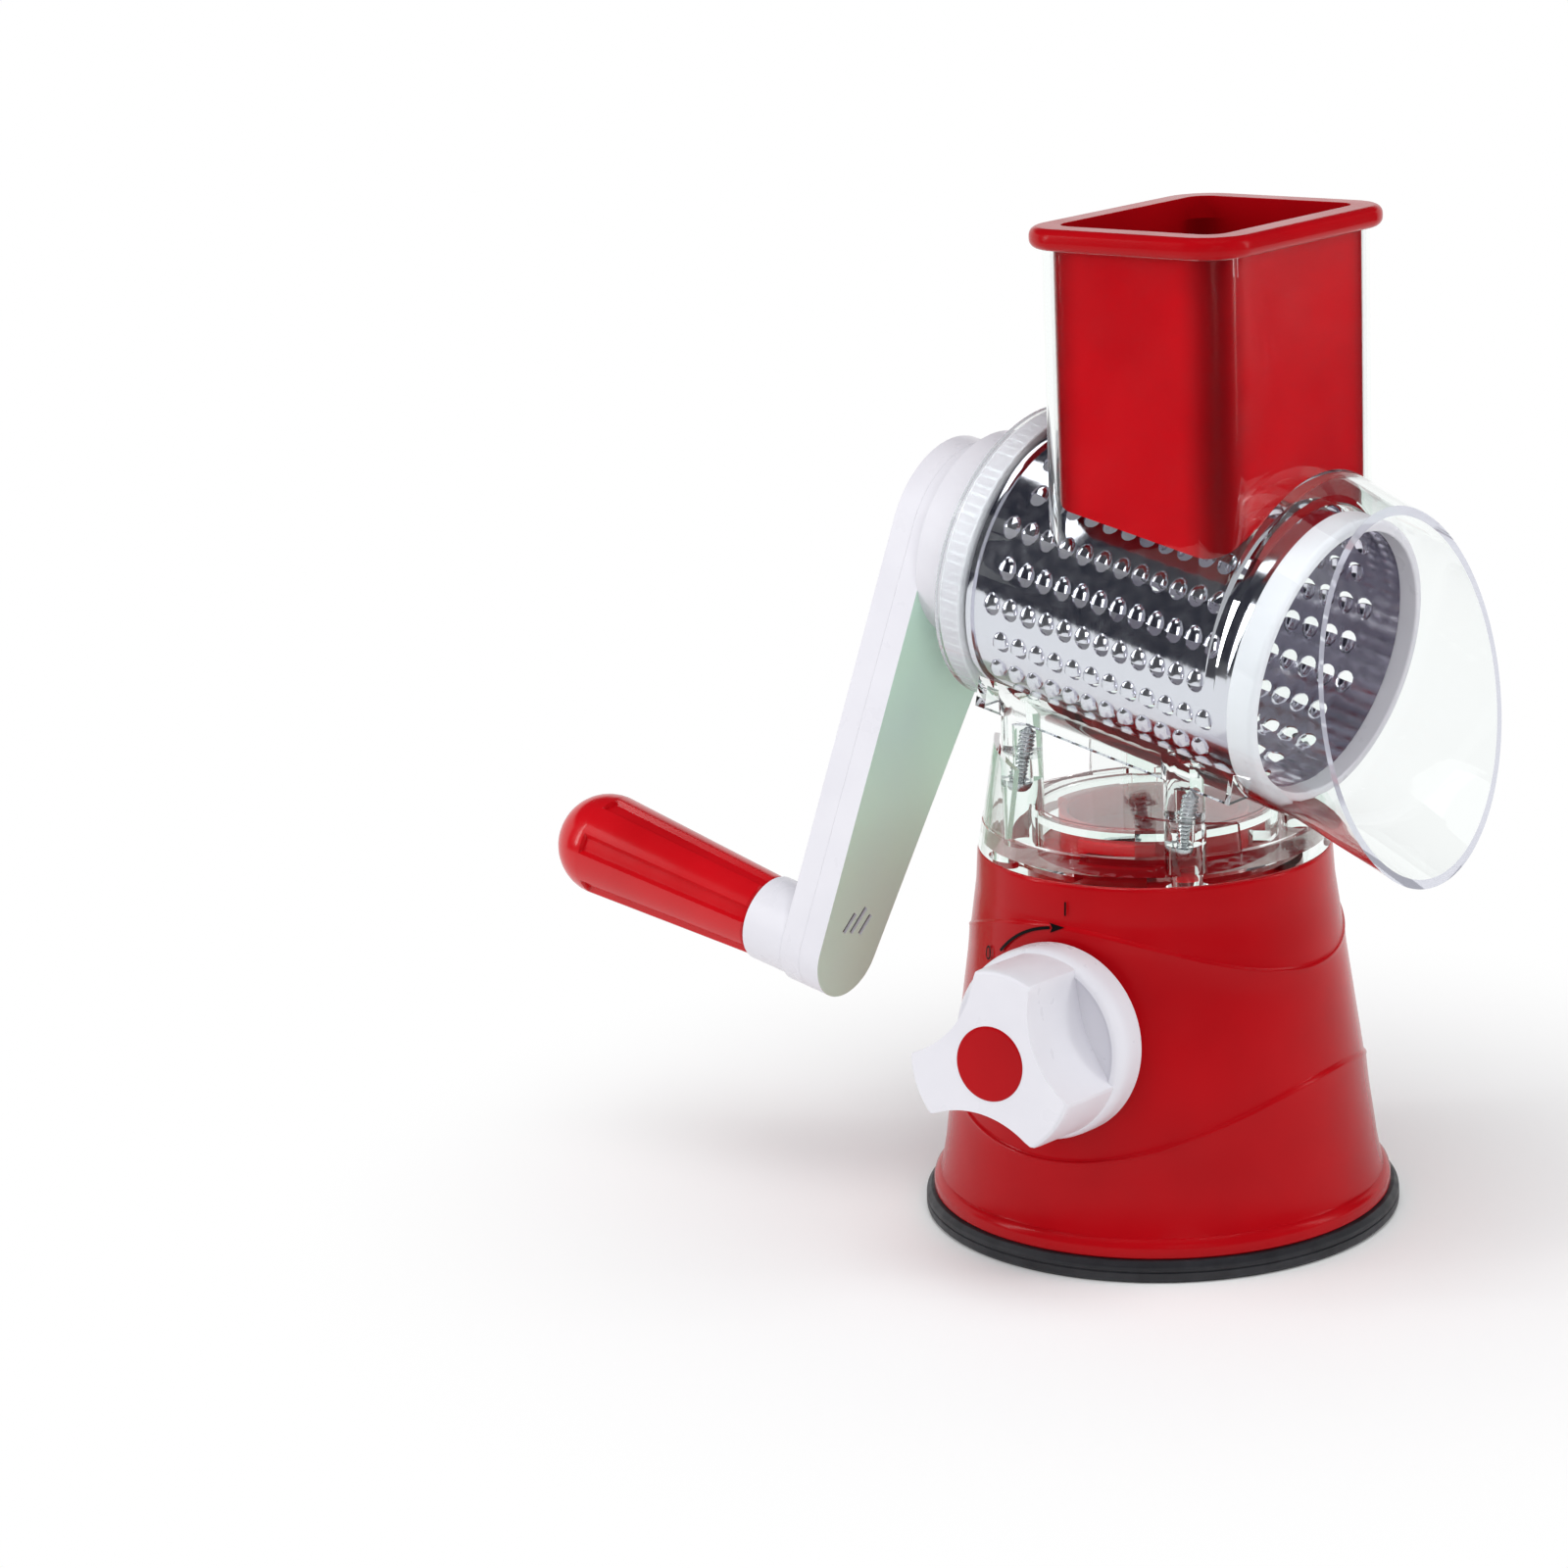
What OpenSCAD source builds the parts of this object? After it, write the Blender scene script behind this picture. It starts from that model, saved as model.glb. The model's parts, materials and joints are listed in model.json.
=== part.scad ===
// Rotary drum grater on a suction base, turned by a hand crank.
// Millimetres, +Z up. The base stands centred on the origin, the outlet
// faces -Y, the crank is at +Y and the suction knob is at -X.
// The drum axis slopes down towards the outlet, so that what is cut slides out.

/* [Base] */
// Radius of the rubber foot
foot_r = 62; // [60.5:0.5:64]
// Height of the rubber foot's rim
foot_h = 5.5; // [5:0.5:6.5]
// Radius of the flared lower edge of the base shell
base_low_r = 59.8; // [58.8:0.2:60.2]
// Radius of the base shell where the flare turns into the cone
base_cone_r = 55.9; // [55:0.1:56.5]
// Radius of the base shell at its top edge
base_top_r = 45.6; // [45:0.1:46]
// Height of the top of the base shell
base_h = 98; // [96:0.5:100]
// Wall thickness of the base shell
base_wall = 2.4; // [2:0.1:2.8]

/* [Suction knob] */
// Radius of the knob
knob_r = 24.5; // [23:0.5:25.5]
// Distance of the knob's back from the vertical axis
knob_back = 51.5; // [51.4:0.1:52.5]
// Distance of the knob's face from the vertical axis
knob_face = 84; // [80:0.5:86]
// Height at which the knob's axis crosses the vertical axis
knob_axis_h = 55; // [54:0.5:56]
// Upward tilt of the knob's axis
knob_tilt = 5; // [3:0.5:6]
// Turn of the knob's axis from -X towards the outlet
knob_yaw = 6; // [0:1:10]
// Eccentricity of the cam that lifts the plunger
cam_throw = 2.5; // [2:0.1:2.7]

/* [Drum and housing] */
// Height at which the drum axis crosses the vertical axis
axis_h = 162.7; // [160:0.5:165]
// Slope of the drum axis
tilt = 11.4; // [10:0.2:12]
// Radius of the steel drum
drum_r = 35; // [34:0.2:35.2]
// Outer radius of the housing barrel
barrel_r = 39.4; // [39.2:0.2:40.4]
// Wall thickness of the clear housing
clear_wall = 2; // [1.8:0.1:2]
// Half width of the outlet mouth
mouth_a = 40; // [39.9:0.1:42]
// Half height of the outlet mouth
mouth_b = 47; // [45:0.5:48]

/* [Hopper and pusher] */
// Half width of the hopper across the drum
hopper_x = 35.6; // [35.4:0.1:36]
// Half depth of the hopper along the drum
hopper_y = 28.4; // [27.8:0.1:28.8]
// Height of the hopper's top edge
hopper_top = 254.5; // [246:0.5:256]
// Corner radius of the hopper
hopper_corner = 9; // [7:0.5:10]
// Height of the pusher's flange
flange_h = 5.4; // [5:0.1:7]

/* [Crank] */
// Distance from the drum axis to the grip's axis
crank_len = 116.5; // [110:0.5:120]
// Angle of the crank from straight down towards -X
crank_angle = 18; // [0:1:45]
// Radius of the crank's head
head_r = 23; // [22:0.5:24]
// Radius of the crank's tip
tip_r = 12.6; // [12:0.1:13]
// Thickness of the crank arm
arm_t = 13; // [12.5:0.5:14]
// Length of the red grip
grip_len = 73; // [72.5:0.5:76]
// Radius of the grip at its crank end
grip_near_r = 11.2; // [10.8:0.1:11.6]
// Radius of the grip at its far end
grip_far_r = 14.2; // [13:0.1:15]

/* [Hidden] */
$fn = 72;
eps = 0.02;            // overlap that makes joined shapes one solid
over = 1;              // length by which a cutting tool runs past a face
block = 200;           // size of the blocks that cut along a plane
play = 0.3;            // gap between moving faces
snug = 0.1;            // gap around a part that is fitted and stays
shaft_fit = 0.06;      // radial running clearance of shafts

// screws of the base plate and of the crank
screw_r = 1.6;         // shank radius
screw_head_r = 3.2;    // head radius
screw_head_t = 2;      // head thickness

// base
flare = [[1, 2.5], [0.64, 6], [0.23, 11], [0, 16]]; // flare: share of its width, height
brow_h = 9;            // height of the steeper band at the base shell's top
brow_out = 0.6;        // how much wider that band is below
top_deck = 2.6;        // thickness of the base shell's top
plate_t = 3;           // thickness of the base plate
plate_hole_r = 12.5;   // hole of the base plate around the plunger
plate_screw_pcr = 48.4; // radius of the base plate's screw circle
plate_screw_in = 12;   // length of the plate screws above the plate
plate_boss_r = 4.2;    // radius of the bosses that take those screws
plate_boss_h = 32;     // length of those bosses
plate_pilot_h = 16;    // depth of the pilot holes in them
pad_t = 3;             // thickness of the suction pad's sole
pad_edge = 0.6;        // chamfer of the suction pad's lower edge
pad_lip = 1.5;         // slope of the suction pad's upper edge

// bayonet between base and stand
bayonet_r = 24.5;      // outer radius of the ring on top of the base
bayonet_h = 7.5;       // height of that ring
bayonet_wall = 2.4;    // wall of that ring
lug_r = 28.6;          // reach of the ring's lugs
lug_z = 3.6;           // height of the lugs' underside above the base
lug_t = 3;             // thickness of the lugs
lug_span = 42;         // angle that each lug covers
lug_angles = [75, 195, 315];

// knob, cam and plunger
knob_rim_t = 7;        // height of the knob's straight rim
knob_skirt_t = 3.5;    // height of the knob's sloping shoulder
knob_shoulder_r = 23.4; // radius of the knob at the top of its shoulder
grip_lobe_r = 23.3;    // reach of the knob's three lobes
scoop_r = 26;          // radius of the hollows between the lobes
scoop_d = 39.2;        // distance of those hollows from the knob's axis
scoop_angles = [112, 232, 352];
pocket_r = 21.4;       // reach of the shallow pockets in front of the hollows
pocket_deep = 3;       // depth of those pockets
cap_r = 9.5;           // radius of the knob's red cap
cap_t = 1.4;           // thickness of the cap
cap_out = 0.3;         // how far the cap stands proud
shaft_r = 6;           // radius of the cam shaft
shaft_in_knob = 12;    // length of the shaft inside the knob
shaft_flat = 4.4;      // distance of the shaft's flat from its axis
knob_screw_in = 8;     // length of the knob's screw inside the shaft
knob_screw_head_r = 4; // head radius of the knob's screw
knob_screw_head_t = 3; // head thickness of the knob's screw
knob_pocket = 5;       // depth of that head's pocket under the cap
knob_seat_r = 20;      // radius of the flat boss that the knob sits before
knob_seat_gap = 0.4;   // gap between that flat and the knob
bush_r = 9.5;          // outer radius of the shaft's guide tube
bush_in = 30;          // where the guide tube starts
cam_r = 9;             // radius of the cam
cam_t = 8;             // thickness of the cam
cam_start = 225;       // direction of the cam's throw at rest
yoke_w = 34;           // width of the plunger's yoke
yoke_t = 7;            // thickness of the yoke
yoke_rim = 5.5;        // height of the yoke above and below its window
rod_r = 5;             // radius of the plunger's rod
plunger_foot_r = 10;   // radius of the plunger's foot
plunger_foot_t = 2.5;  // thickness of the plunger's foot

// stand
stand_gap = 0.3;       // gap between base and stand
stand_z = base_h + stand_gap;
stand_low_r = base_top_r - 0.2; // radius of the stand's skin at its lower edge
stand_floor_t = 2;     // thickness of the stand's floor
stand_lap = 1;         // how far the floor reaches into the walls beside it
stand_rim_h = 7;       // height of the rim all round the stand
stand_top_r = 38.6;    // radius of the stand's skin at skin_top_h
skin_top_h = 140;      // height at which the skin would have that radius
leg_inset = 0.3;       // how far the legs' skin lies inside the rim's
leg_wall = 1.5;        // wall of the legs' skin
leg_span = 36;         // angle that each leg's skin covers
collar_r = 32;         // outer radius of the stand's inner collar
collar_h = 11;         // height of the inner collar
collar_t = 2;          // wall of the inner collar
lid_z = 7.7;           // height of the clear plate in the collar above the stand's foot
lid_t = 2;             // thickness of that plate
hook_r = 25.3;         // inner reach of the collar's hooks
hook_t = 2.6;          // thickness of the hooks
hook_span = 34;        // angle that each hook covers
post_x = 26;           // posts' distance from the middle plane
post_rear_y = 22;      // rear posts
post_front_y = -28;    // front posts
post_r = 5.2;          // radius of the posts
joint_n = -42;         // joint between posts and housing, below the drum axis
stand_screw_r = 1.8;   // shank radius of the stand screws
stand_head_r = 3.4;    // head radius of the stand screws
stand_head_t = 2.4;    // head thickness of the stand screws
stand_head_bore_r = 3.8; // bore of the posts for the screws' heads
stand_screw_up = 7;    // length of the stand screws above and below the joint
stand_screw_gap = 0.5; // room past the stand screws' ends

// housing
barrel_front = -68;    // ends of the barrel along the drum axis; the flare swallows its front
barrel_rear = 38.2;
bore_r = barrel_r - clear_wall;
mouth_y = -77.9;       // centre of the mouth
mouth_z = 145.2;
mouth_lean = 8.8;      // lean of the mouth's plane, its top towards the hopper
mouth_slope = acos(mouth_a / mouth_b) - mouth_lean; // slope of the flare that opens so
flare_rear = -45;      // rear end of the flare
hopper_cy = -19.7;     // middle of the hopper
saddle_x = 31;         // half width of the saddle under the barrel
saddle_low = -32.5;    // lower edge of the saddle
saddle_high = -20;     // upper edge of the saddle, inside the barrel's wall
saddle_front = -52;    // ends of the saddle along the drum axis
saddle_rear = 27;
boss_top_h = 140.7;    // height at which the bosses end inside the barrel's wall
bearing_t = 6.7;       // thickness of the rear bearing
bearing_front = barrel_rear - bearing_t;
bearing_rear = barrel_rear - 0.4;
bearing_floor = 2;     // thickness of the rear bearing between its rims
bearing_rim = 2.5;     // width of its two rims

// pusher
pusher_play = 0.5;     // gap between pusher and hopper
pusher_wall = 2;       // wall of the pusher
pusher_arch_r = 60;    // radius of the pusher's hollow lower end
pusher_over_drum = 36.8; // height of that hollow above the drum axis
pusher_low_h = 172;    // height from which the pusher's walls are drawn
flange_gap = 0.2;      // gap between the pusher's flange and the hopper
flange_over = 3.2;     // overhang of the flange past the hopper

// drum
drum_front = -53;      // ends of the steel drum along its axis
drum_rear = 30.8;
steel_t = 0.6;         // thickness of the steel
hem_r = 36.1;          // radius over the rolled rear edge and the teeth
hem_t = 2;             // width of the rolled edge
ring_front = -58.2;    // front of the white ring
ring_rear = -50.8;     // rear of the white ring
ring_r = 37;           // outer radius of the white ring
ring_bore_r = 33.9;    // bore of the white ring
ring_edge = 1;         // chamfer of the ring's front edge
hub_disc_front = 26.8; // front of the hub's disc
hub_disc_t = 2.6;      // thickness of the hub's disc
hub_neck_r = 12.7;     // radius of the hub's neck
hub_neck_rear = 38.6;  // rear of the neck
stub_r = 11.3;         // radius of the hub's stub
stub_rear = 62;        // end of the stub
stub_bore_r = 8.8;     // bore of the stub
rib_w = 3;             // width of the stub's ribs
rib_reach = 12.3;      // reach of the ribs
rib_rear = 60;         // end of the ribs
rib_play = 0.3;        // gap beside and over the ribs

// crank
arm_front = 53.5;       // front face of the arm along the drum axis
arm_mid = arm_front + arm_t / 2;
arm_rear = arm_front + arm_t;
disc_r = 28;           // radius of the crank's disc behind the barrel
disc_front = barrel_rear + 0.6;
journal_r = 18;        // journal in the rear bearing
journal_bore_r = 13.2; // bore of the journal
journal_front = bearing_front + 0.5;
socket_r = 16;         // outer radius of the drive socket
socket_front = 40;     // ends of the drive socket
socket_rear = 64;
socket_end_gap = 0.5;  // room past the stub's end in the socket
groove_w = 1.6;        // width of the three slanted grooves in the tip
groove_len = 8;        // length of the middle groove
groove_short = 2;      // how much shorter its neighbours are
groove_pitch = 3.6;    // pitch of the grooves
groove_depth = 0.8;    // depth of the grooves
groove_lean = 24;      // slant of the grooves
groove_up = 9;         // distance of the grooves from the grip's axis
crank_screw_at = [30, 66, 100]; // distances of the crank screws from the axis
crank_screw_len = 10;  // length of the crank screws
crank_screw_sink = 1;  // how deep the screws' heads are sunk
crank_pilot = 5;       // depth of their pilot holes in the arm
grip_boss_r = 11.8;    // radius of the boss that carries the grip
grip_front = 80.9;     // near end of the grip
grip_gap = 0.4;        // gap between boss and grip
grip_boss_rear = grip_front - grip_gap;
grip_rear = grip_front + grip_len;
grip_edge = 0.8;       // chamfer of the grip's near edge
grip_cap_len = 7;      // length of the grip's end cap
cap_plug_len = 1.5;    // length of the end cap's plug
cap_plug_wall = 1.4;   // wall of that plug
grip_dome_len = 14;    // length of the grip's domed end
grip_cavity_r = 7.5;   // cavity for the washer and the screw
spindle_r = 3;         // radius of the grip's spindle
spindle_rear = 142;    // outer end of the spindle
spindle_head_r = 5;    // radius of the spindle's head, held between arm and cover
spindle_head_t = 3;    // thickness of the spindle's head
spindle_thread = 9;    // depth of the thread in the spindle's outer end
washer_r = 6;          // radius of the grip's washer
washer_t = 1.2;        // thickness of the washer

// ---- frames and shared shapes ----

// Tilted frame of the drum: y runs along the drum axis, towards the crank
module drum_frame() translate([0, 0, axis_h]) rotate([tilt, 0, 0]) children();

// Frame of the crank arm: -z points from the drum axis to the grip
module crank_frame() drum_frame() rotate([0, crank_angle, 0]) children();

// Frame on the grip's axis
module grip_frame() crank_frame() translate([0, 0, -crank_len]) children();

// Frame of the knob: z points out along the knob's axis, x points down
module knob_frame() translate([0, 0, knob_axis_h])
    rotate([0, 90 - knob_tilt, 180 + knob_yaw]) children();

// A flat shape drawn across the drum axis, from y0 to y1
module along(y0, y1) translate([0, y1, 0]) rotate([90, 0, 0])
    linear_extrude(y1 - y0) children();

// A rod along the drum axis, from y0 to y1
module rod(y0, y1, r) translate([0, y1, 0]) rotate([90, 0, 0])
    cylinder(h = y1 - y0, r = r);

// A rod along z
module pin(z0, z1, r) translate([0, 0, z0]) cylinder(h = z1 - z0, r = r);

// A ring along z
module ring(z0, z1, r_out, r_in) difference() {
    pin(z0, z1, r_out);
    pin(z0 - over, z1 + over, r_in);
}

// A part of a ring that covers an angle around the middle direction
module sector(z0, z1, r_out, r_in, middle, span) rotate(middle - span / 2)
    rotate_extrude(angle = span) translate([r_in, z0]) square([r_out - r_in, z1 - z0]);

// A rectangle of half width w and half depth d with round corners
module rounded(w, d, r) union() {
    square([2 * w - 2 * r, 2 * d], center = true);
    square([2 * w, 2 * d - 2 * r], center = true);
    for (x = [-1, 1], y = [-1, 1])
        translate([x * (w - r), y * (d - r)]) circle(r);
}

// A bar that tapers from one round end down to another
module tapered_bar(r1, r2, length) {
    lean = asin((r1 - r2) / length);
    circle(r1);
    translate([0, -length]) circle(r2);
    polygon([[r1 * cos(lean), -r1 * sin(lean)],
             [r2 * cos(lean), -length - r2 * sin(lean)],
             [-r2 * cos(lean), -length - r2 * sin(lean)],
             [-r1 * cos(lean), -r1 * sin(lean)]]);
}

// Height of the joint plane over a point at y
function joint_z(y) = axis_h + y * tan(tilt) + joint_n / cos(tilt);

// Everything below the joint plane
module below_joint() drum_frame()
    translate([-block / 2, -block / 2, joint_n - block]) cube(block);

// Places a child at the four stand posts, on the joint plane
module at_joints() for (x = [-post_x, post_x], y = [post_rear_y, post_front_y])
    translate([x, y, joint_z(y)]) children();

// ---- base ----

// Outline of the base shell, from the foot to the top
function base_outline(inset, low, high) = concat(
    [[0, low],
     [base_low_r - inset, low]],
    [for (p = flare)
        [base_cone_r + p[0] * (base_low_r - base_cone_r) - inset, foot_h + p[1]]],
    [[base_top_r + brow_out - inset, base_h - brow_h],
     [base_top_r - inset, high],
     [0, high]]);

module base_shell() color("crimson") difference() {
    union() {
        difference() {
            union() {
                rotate_extrude() polygon(base_outline(0, foot_h, base_h));
                knob_frame() pin(base_top_r - base_wall, knob_back - knob_seat_gap, knob_seat_r);
            }
            rotate_extrude()
                polygon(base_outline(base_wall, foot_h - over, base_h - top_deck));
            knob_frame() pin(knob_back - knob_seat_gap, knob_face, knob_r + knob_seat_gap);
        }
        knob_frame() pin(bush_in, knob_back - over, bush_r);
        ring(base_h - eps, base_h + bayonet_h, bayonet_r, bayonet_r - bayonet_wall);
        for (a = lug_angles)
            sector(base_h + lug_z, base_h + lug_z + lug_t,
                   lug_r, bayonet_r - bayonet_wall / 2, a, lug_span);
        base_bosses();
    }
    knob_frame() pin(bush_in - over, knob_back + over, shaft_r + shaft_fit);
    at_plate_screws() pin(foot_h, foot_h + plate_t + plate_pilot_h, screw_r);
}

// Screw bosses that stand on the base plate and run up into the wall
module base_bosses() intersection() {
    at_plate_screws() pin(foot_h + plate_t, foot_h + plate_t + plate_boss_h, plate_boss_r);
    rotate_extrude() polygon(base_outline(base_wall / 2, foot_h, base_h));
}

module at_plate_screws() for (a = [45:90:315])
    rotate(a) translate([plate_screw_pcr, 0, 0]) children();

module base_plate() color("black") difference() {
    pin(foot_h, foot_h + plate_t, base_low_r - base_wall - snug);
    pin(foot_h - over, foot_h + plate_t + over, plate_hole_r);
    at_plate_screws() {
        pin(foot_h - over, foot_h + plate_t + over, screw_r + snug);
        pin(foot_h - over, foot_h + screw_head_t, screw_head_r + play);
    }
}

module base_plate_screws() color("silver") at_plate_screws() {
    pin(foot_h, foot_h + screw_head_t, screw_head_r);
    pin(foot_h + screw_head_t - eps, foot_h + plate_t + plate_screw_in, screw_r);
}

module suction_pad() color("dimgray") rotate_extrude() polygon([
    [0, 0],
    [foot_r - pad_edge, 0],
    [foot_r, pad_edge],
    [foot_r, foot_h - pad_lip],
    [foot_r - pad_lip, foot_h],
    [base_low_r - base_wall - 2 * play, foot_h],
    [base_low_r - base_wall - 2 * play, pad_t],
    [0, pad_t]]);

// ---- suction knob and plunger ----

// Middle of the yoke's window, measured from the knob's axis along x
yoke_mid = -cam_throw * sin(cam_start);

module plunger() color("gainsboro") difference() {
    union() {
        pin(pad_t, pad_t + plunger_foot_t, plunger_foot_r);
        pin(pad_t, knob_axis_h - yoke_mid - cam_r, rod_r);
        rotate(knob_yaw) translate([0, 0, knob_axis_h - yoke_mid])
            cube([yoke_t, yoke_w, 2 * (cam_r + play + yoke_rim)], center = true);
    }
    knob_frame() translate([yoke_mid, 0, 0])
        cube([2 * (cam_r + play), 2 * (cam_r + cam_throw + play), 2 * yoke_t], center = true);
}

// The shaft's outer end, with a flat that drives the knob
module shaft_end(z0, z1) intersection() {
    pin(z0, z1, shaft_r);
    translate([-shaft_r, -shaft_r, z0]) cube([shaft_r + shaft_flat, 2 * shaft_r, z1 - z0]);
}

module cam_shaft() color("gainsboro") knob_frame() difference() {
    union() {
        translate([-cam_throw * sin(cam_start), cam_throw * cos(cam_start), -cam_t / 2])
            cylinder(h = cam_t, r = cam_r);
        pin(cam_t / 2 - eps, knob_back, shaft_r);
        shaft_end(knob_back - eps, knob_back + shaft_in_knob);
    }
    pin(knob_back + shaft_in_knob - knob_screw_in - over, knob_back + shaft_in_knob + over, screw_r);
}

module knob() color("whitesmoke") knob_frame() difference() {
    union() {
        pin(knob_back, knob_back + knob_rim_t, knob_r);
        translate([0, 0, knob_back + knob_rim_t])
            cylinder(h = knob_skirt_t, r1 = knob_r, r2 = knob_shoulder_r);
        knob_lobes(knob_back + knob_rim_t + knob_skirt_t - eps, knob_face);
    }
    knob_pockets(knob_back + knob_rim_t + knob_skirt_t);
    shaft_end(knob_back - over, knob_back + shaft_in_knob);
    pin(knob_back, knob_face, screw_r + snug);
    pin(knob_face - cap_t - knob_pocket, knob_face + over, knob_screw_head_r + play);
    pin(knob_face - cap_t, knob_face + over, cap_r + snug);
}

// Three lobes with a round hollow between each two
module knob_lobes(z0, z1) difference() {
    pin(z0, z1, grip_lobe_r);
    for (a = scoop_angles)
        rotate(a) translate([scoop_d, 0, 0]) pin(z0 - over, z1 + over, scoop_r);
}

// Shallow pockets that let the fingers reach into the hollows
module knob_pockets(z) for (a = scoop_angles) intersection() {
    pin(z - pocket_deep, z + over, pocket_r);
    rotate(a) translate([scoop_d, 0, 0]) pin(z - pocket_deep - over, z + 2 * over, scoop_r);
}

module knob_screw() color("silver") knob_frame()
    translate([0, 0, knob_face - cap_t - knob_pocket]) {
        pin(0, knob_screw_head_t, knob_screw_head_r);
        pin(knob_back + shaft_in_knob - knob_screw_in - (knob_face - cap_t - knob_pocket),
            eps, screw_r);
    }

module knob_cap() color("crimson") knob_frame()
    pin(knob_face - cap_t, knob_face + cap_out, cap_r);

// ---- stand ----

// Outer radius of the stand's conical skin at a height
function skin_r(z) = stand_low_r
    - (stand_low_r - stand_top_r) * (z - stand_z) / (skin_top_h - stand_z);

// A stretch of conical skin: heights, how far it is set in, its wall and its angle
module stand_skin(z0, z1, inset, wall, middle, span) rotate(middle - span / 2)
    rotate_extrude(angle = span) polygon([
        [skin_r(z0) - inset - wall, z0],
        [skin_r(z0) - inset, z0],
        [skin_r(z1) - inset, z1],
        [skin_r(z1) - inset - wall, z1]]);

// Posts and the skin outside them, up to the joint plane
module stand_legs() intersection() {
    below_joint();
    for (x = [-post_x, post_x], y = [post_rear_y, post_front_y]) {
        translate([x, y, 0]) pin(stand_z + stand_floor_t / 4, skin_top_h, post_r);
        stand_skin(stand_z + stand_floor_t / 2, skin_top_h - over,
                   leg_inset, leg_wall, atan2(y, x), leg_span);
    }
}

module stand() color("aliceblue", 0.35) difference() {
    union() {
        ring(stand_z, stand_z + stand_floor_t, stand_low_r - stand_lap, collar_r - stand_lap);
        stand_skin(stand_z, stand_z + stand_rim_h, 0, clear_wall, 180, 360);
        ring(stand_z, stand_z + collar_h, collar_r, collar_r - collar_t);
        pin(stand_z + lid_z, stand_z + lid_z + lid_t, collar_r - collar_t / 2);
        for (a = lug_angles)
            sector(stand_z, stand_z + hook_t, collar_r - collar_t / 2, hook_r, a, hook_span);
        stand_legs();
    }
    at_joints() pin(-block / 2, block / 2, stand_screw_r + snug);
    at_joints() pin(-block / 2, -stand_screw_up, stand_head_bore_r);
}

module stand_screws() color("silver") at_joints() translate([0, 0, -stand_screw_up]) {
    pin(-stand_head_t, 0, stand_head_r);
    pin(-eps, 2 * stand_screw_up, stand_screw_r);
}

// ---- housing ----

// Everything on the hopper's side of the mouth's plane
module behind_mouth(out) translate([0, mouth_y, mouth_z]) rotate([-mouth_lean, 0, 0])
    translate([-block / 2, -out, -block / 2]) cube(block);

// Everything on the outlet's side of a cut across the drum axis
module before(y) drum_frame() translate([-block / 2, y - block, -block / 2]) cube(block);

// Collar around the barrel's end: a tube that slopes down to the mouth
module mouth_flare(r, y_rear, out) intersection() {
    translate([0, mouth_y, mouth_z]) rotate([mouth_slope, 0, 0]) rod(-block / 2, block / 2, r);
    before(y_rear);
    behind_mouth(out);
}

// The hopper's shape from the drum axis up, drawn in by an inset
module hopper_block(inset, top) translate([0, hopper_cy, axis_h])
    linear_extrude(top - axis_h)
        rounded(hopper_x - inset, hopper_y - inset, hopper_corner - inset);

module housing() color("aliceblue", 0.3) difference() {
    union() {
        intersection() {
            drum_frame() rod(barrel_front, barrel_rear, barrel_r);
            behind_mouth(0);
        }
        mouth_flare(mouth_a, flare_rear, 0);
        hopper_block(0, hopper_top);
        saddle();
        housing_bosses();
    }
    drum_frame() rod(barrel_front - over, barrel_rear + over, bore_r);
    mouth_flare(mouth_a - clear_wall, flare_rear - clear_wall, over);
    hopper_block(clear_wall, hopper_top + over);
    at_joints() pin(-over, stand_screw_up + stand_screw_gap, stand_screw_r + snug);
}

// Skirt under the barrel, open below
module saddle() drum_frame() difference() {
    along(saddle_front, saddle_rear)
        translate([-saddle_x, saddle_low])
            square([2 * saddle_x, saddle_high - saddle_low]);
    along(saddle_front + clear_wall, saddle_rear - clear_wall)
        translate([-saddle_x + clear_wall, saddle_low - over])
            square([2 * (saddle_x - clear_wall), saddle_high - saddle_low + 2 * over]);
}

// Bosses that take the stand screws
module housing_bosses() difference() {
    for (x = [-post_x, post_x], y = [post_rear_y, post_front_y])
        translate([x, y, 0]) pin(joint_z(post_front_y) - 2 * over, boss_top_h, post_r);
    below_joint();
}

module rear_bearing() color("whitesmoke") drum_frame() difference() {
    rod(bearing_front, bearing_rear, bore_r);
    rod(bearing_front - over, bearing_rear + over, journal_r + shaft_fit);
    along(bearing_front + bearing_floor, bearing_rear + over) difference() {
        circle(bore_r - bearing_rim);
        circle(journal_r + bearing_rim);
    }
}

// ---- pusher ----

// Space under the pusher's hollow end, moved up by a wall
module under_pusher(up) drum_frame() translate([0, 0, pusher_over_drum - pusher_arch_r])
    rod(-block / 2, block / 2, pusher_arch_r + up);

module pusher_block(inset, top) translate([0, hopper_cy, pusher_low_h])
    linear_extrude(top - pusher_low_h)
        rounded(hopper_x - clear_wall - pusher_play - inset,
                hopper_y - clear_wall - pusher_play - inset,
                hopper_corner - clear_wall - inset);

module pusher() color("crimson") difference() {
    union() {
        difference() {
            pusher_block(0, hopper_top + flange_h / 2);
            under_pusher(0);
        }
        translate([0, hopper_cy, hopper_top + flange_gap]) linear_extrude(flange_h)
            rounded(hopper_x + flange_over, hopper_y + flange_over, hopper_corner + flange_over);
    }
    difference() {
        pusher_block(pusher_wall, hopper_top + flange_h + over);
        under_pusher(pusher_wall);
    }
}

// ---- crank ----

module crank_half(y0, y1) crank_frame() along(y0, y1) tapered_bar(head_r, tip_r, crank_len);

module at_crank_screws() crank_frame() for (d = crank_screw_at)
    translate([0, 0, -d]) children();

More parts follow.
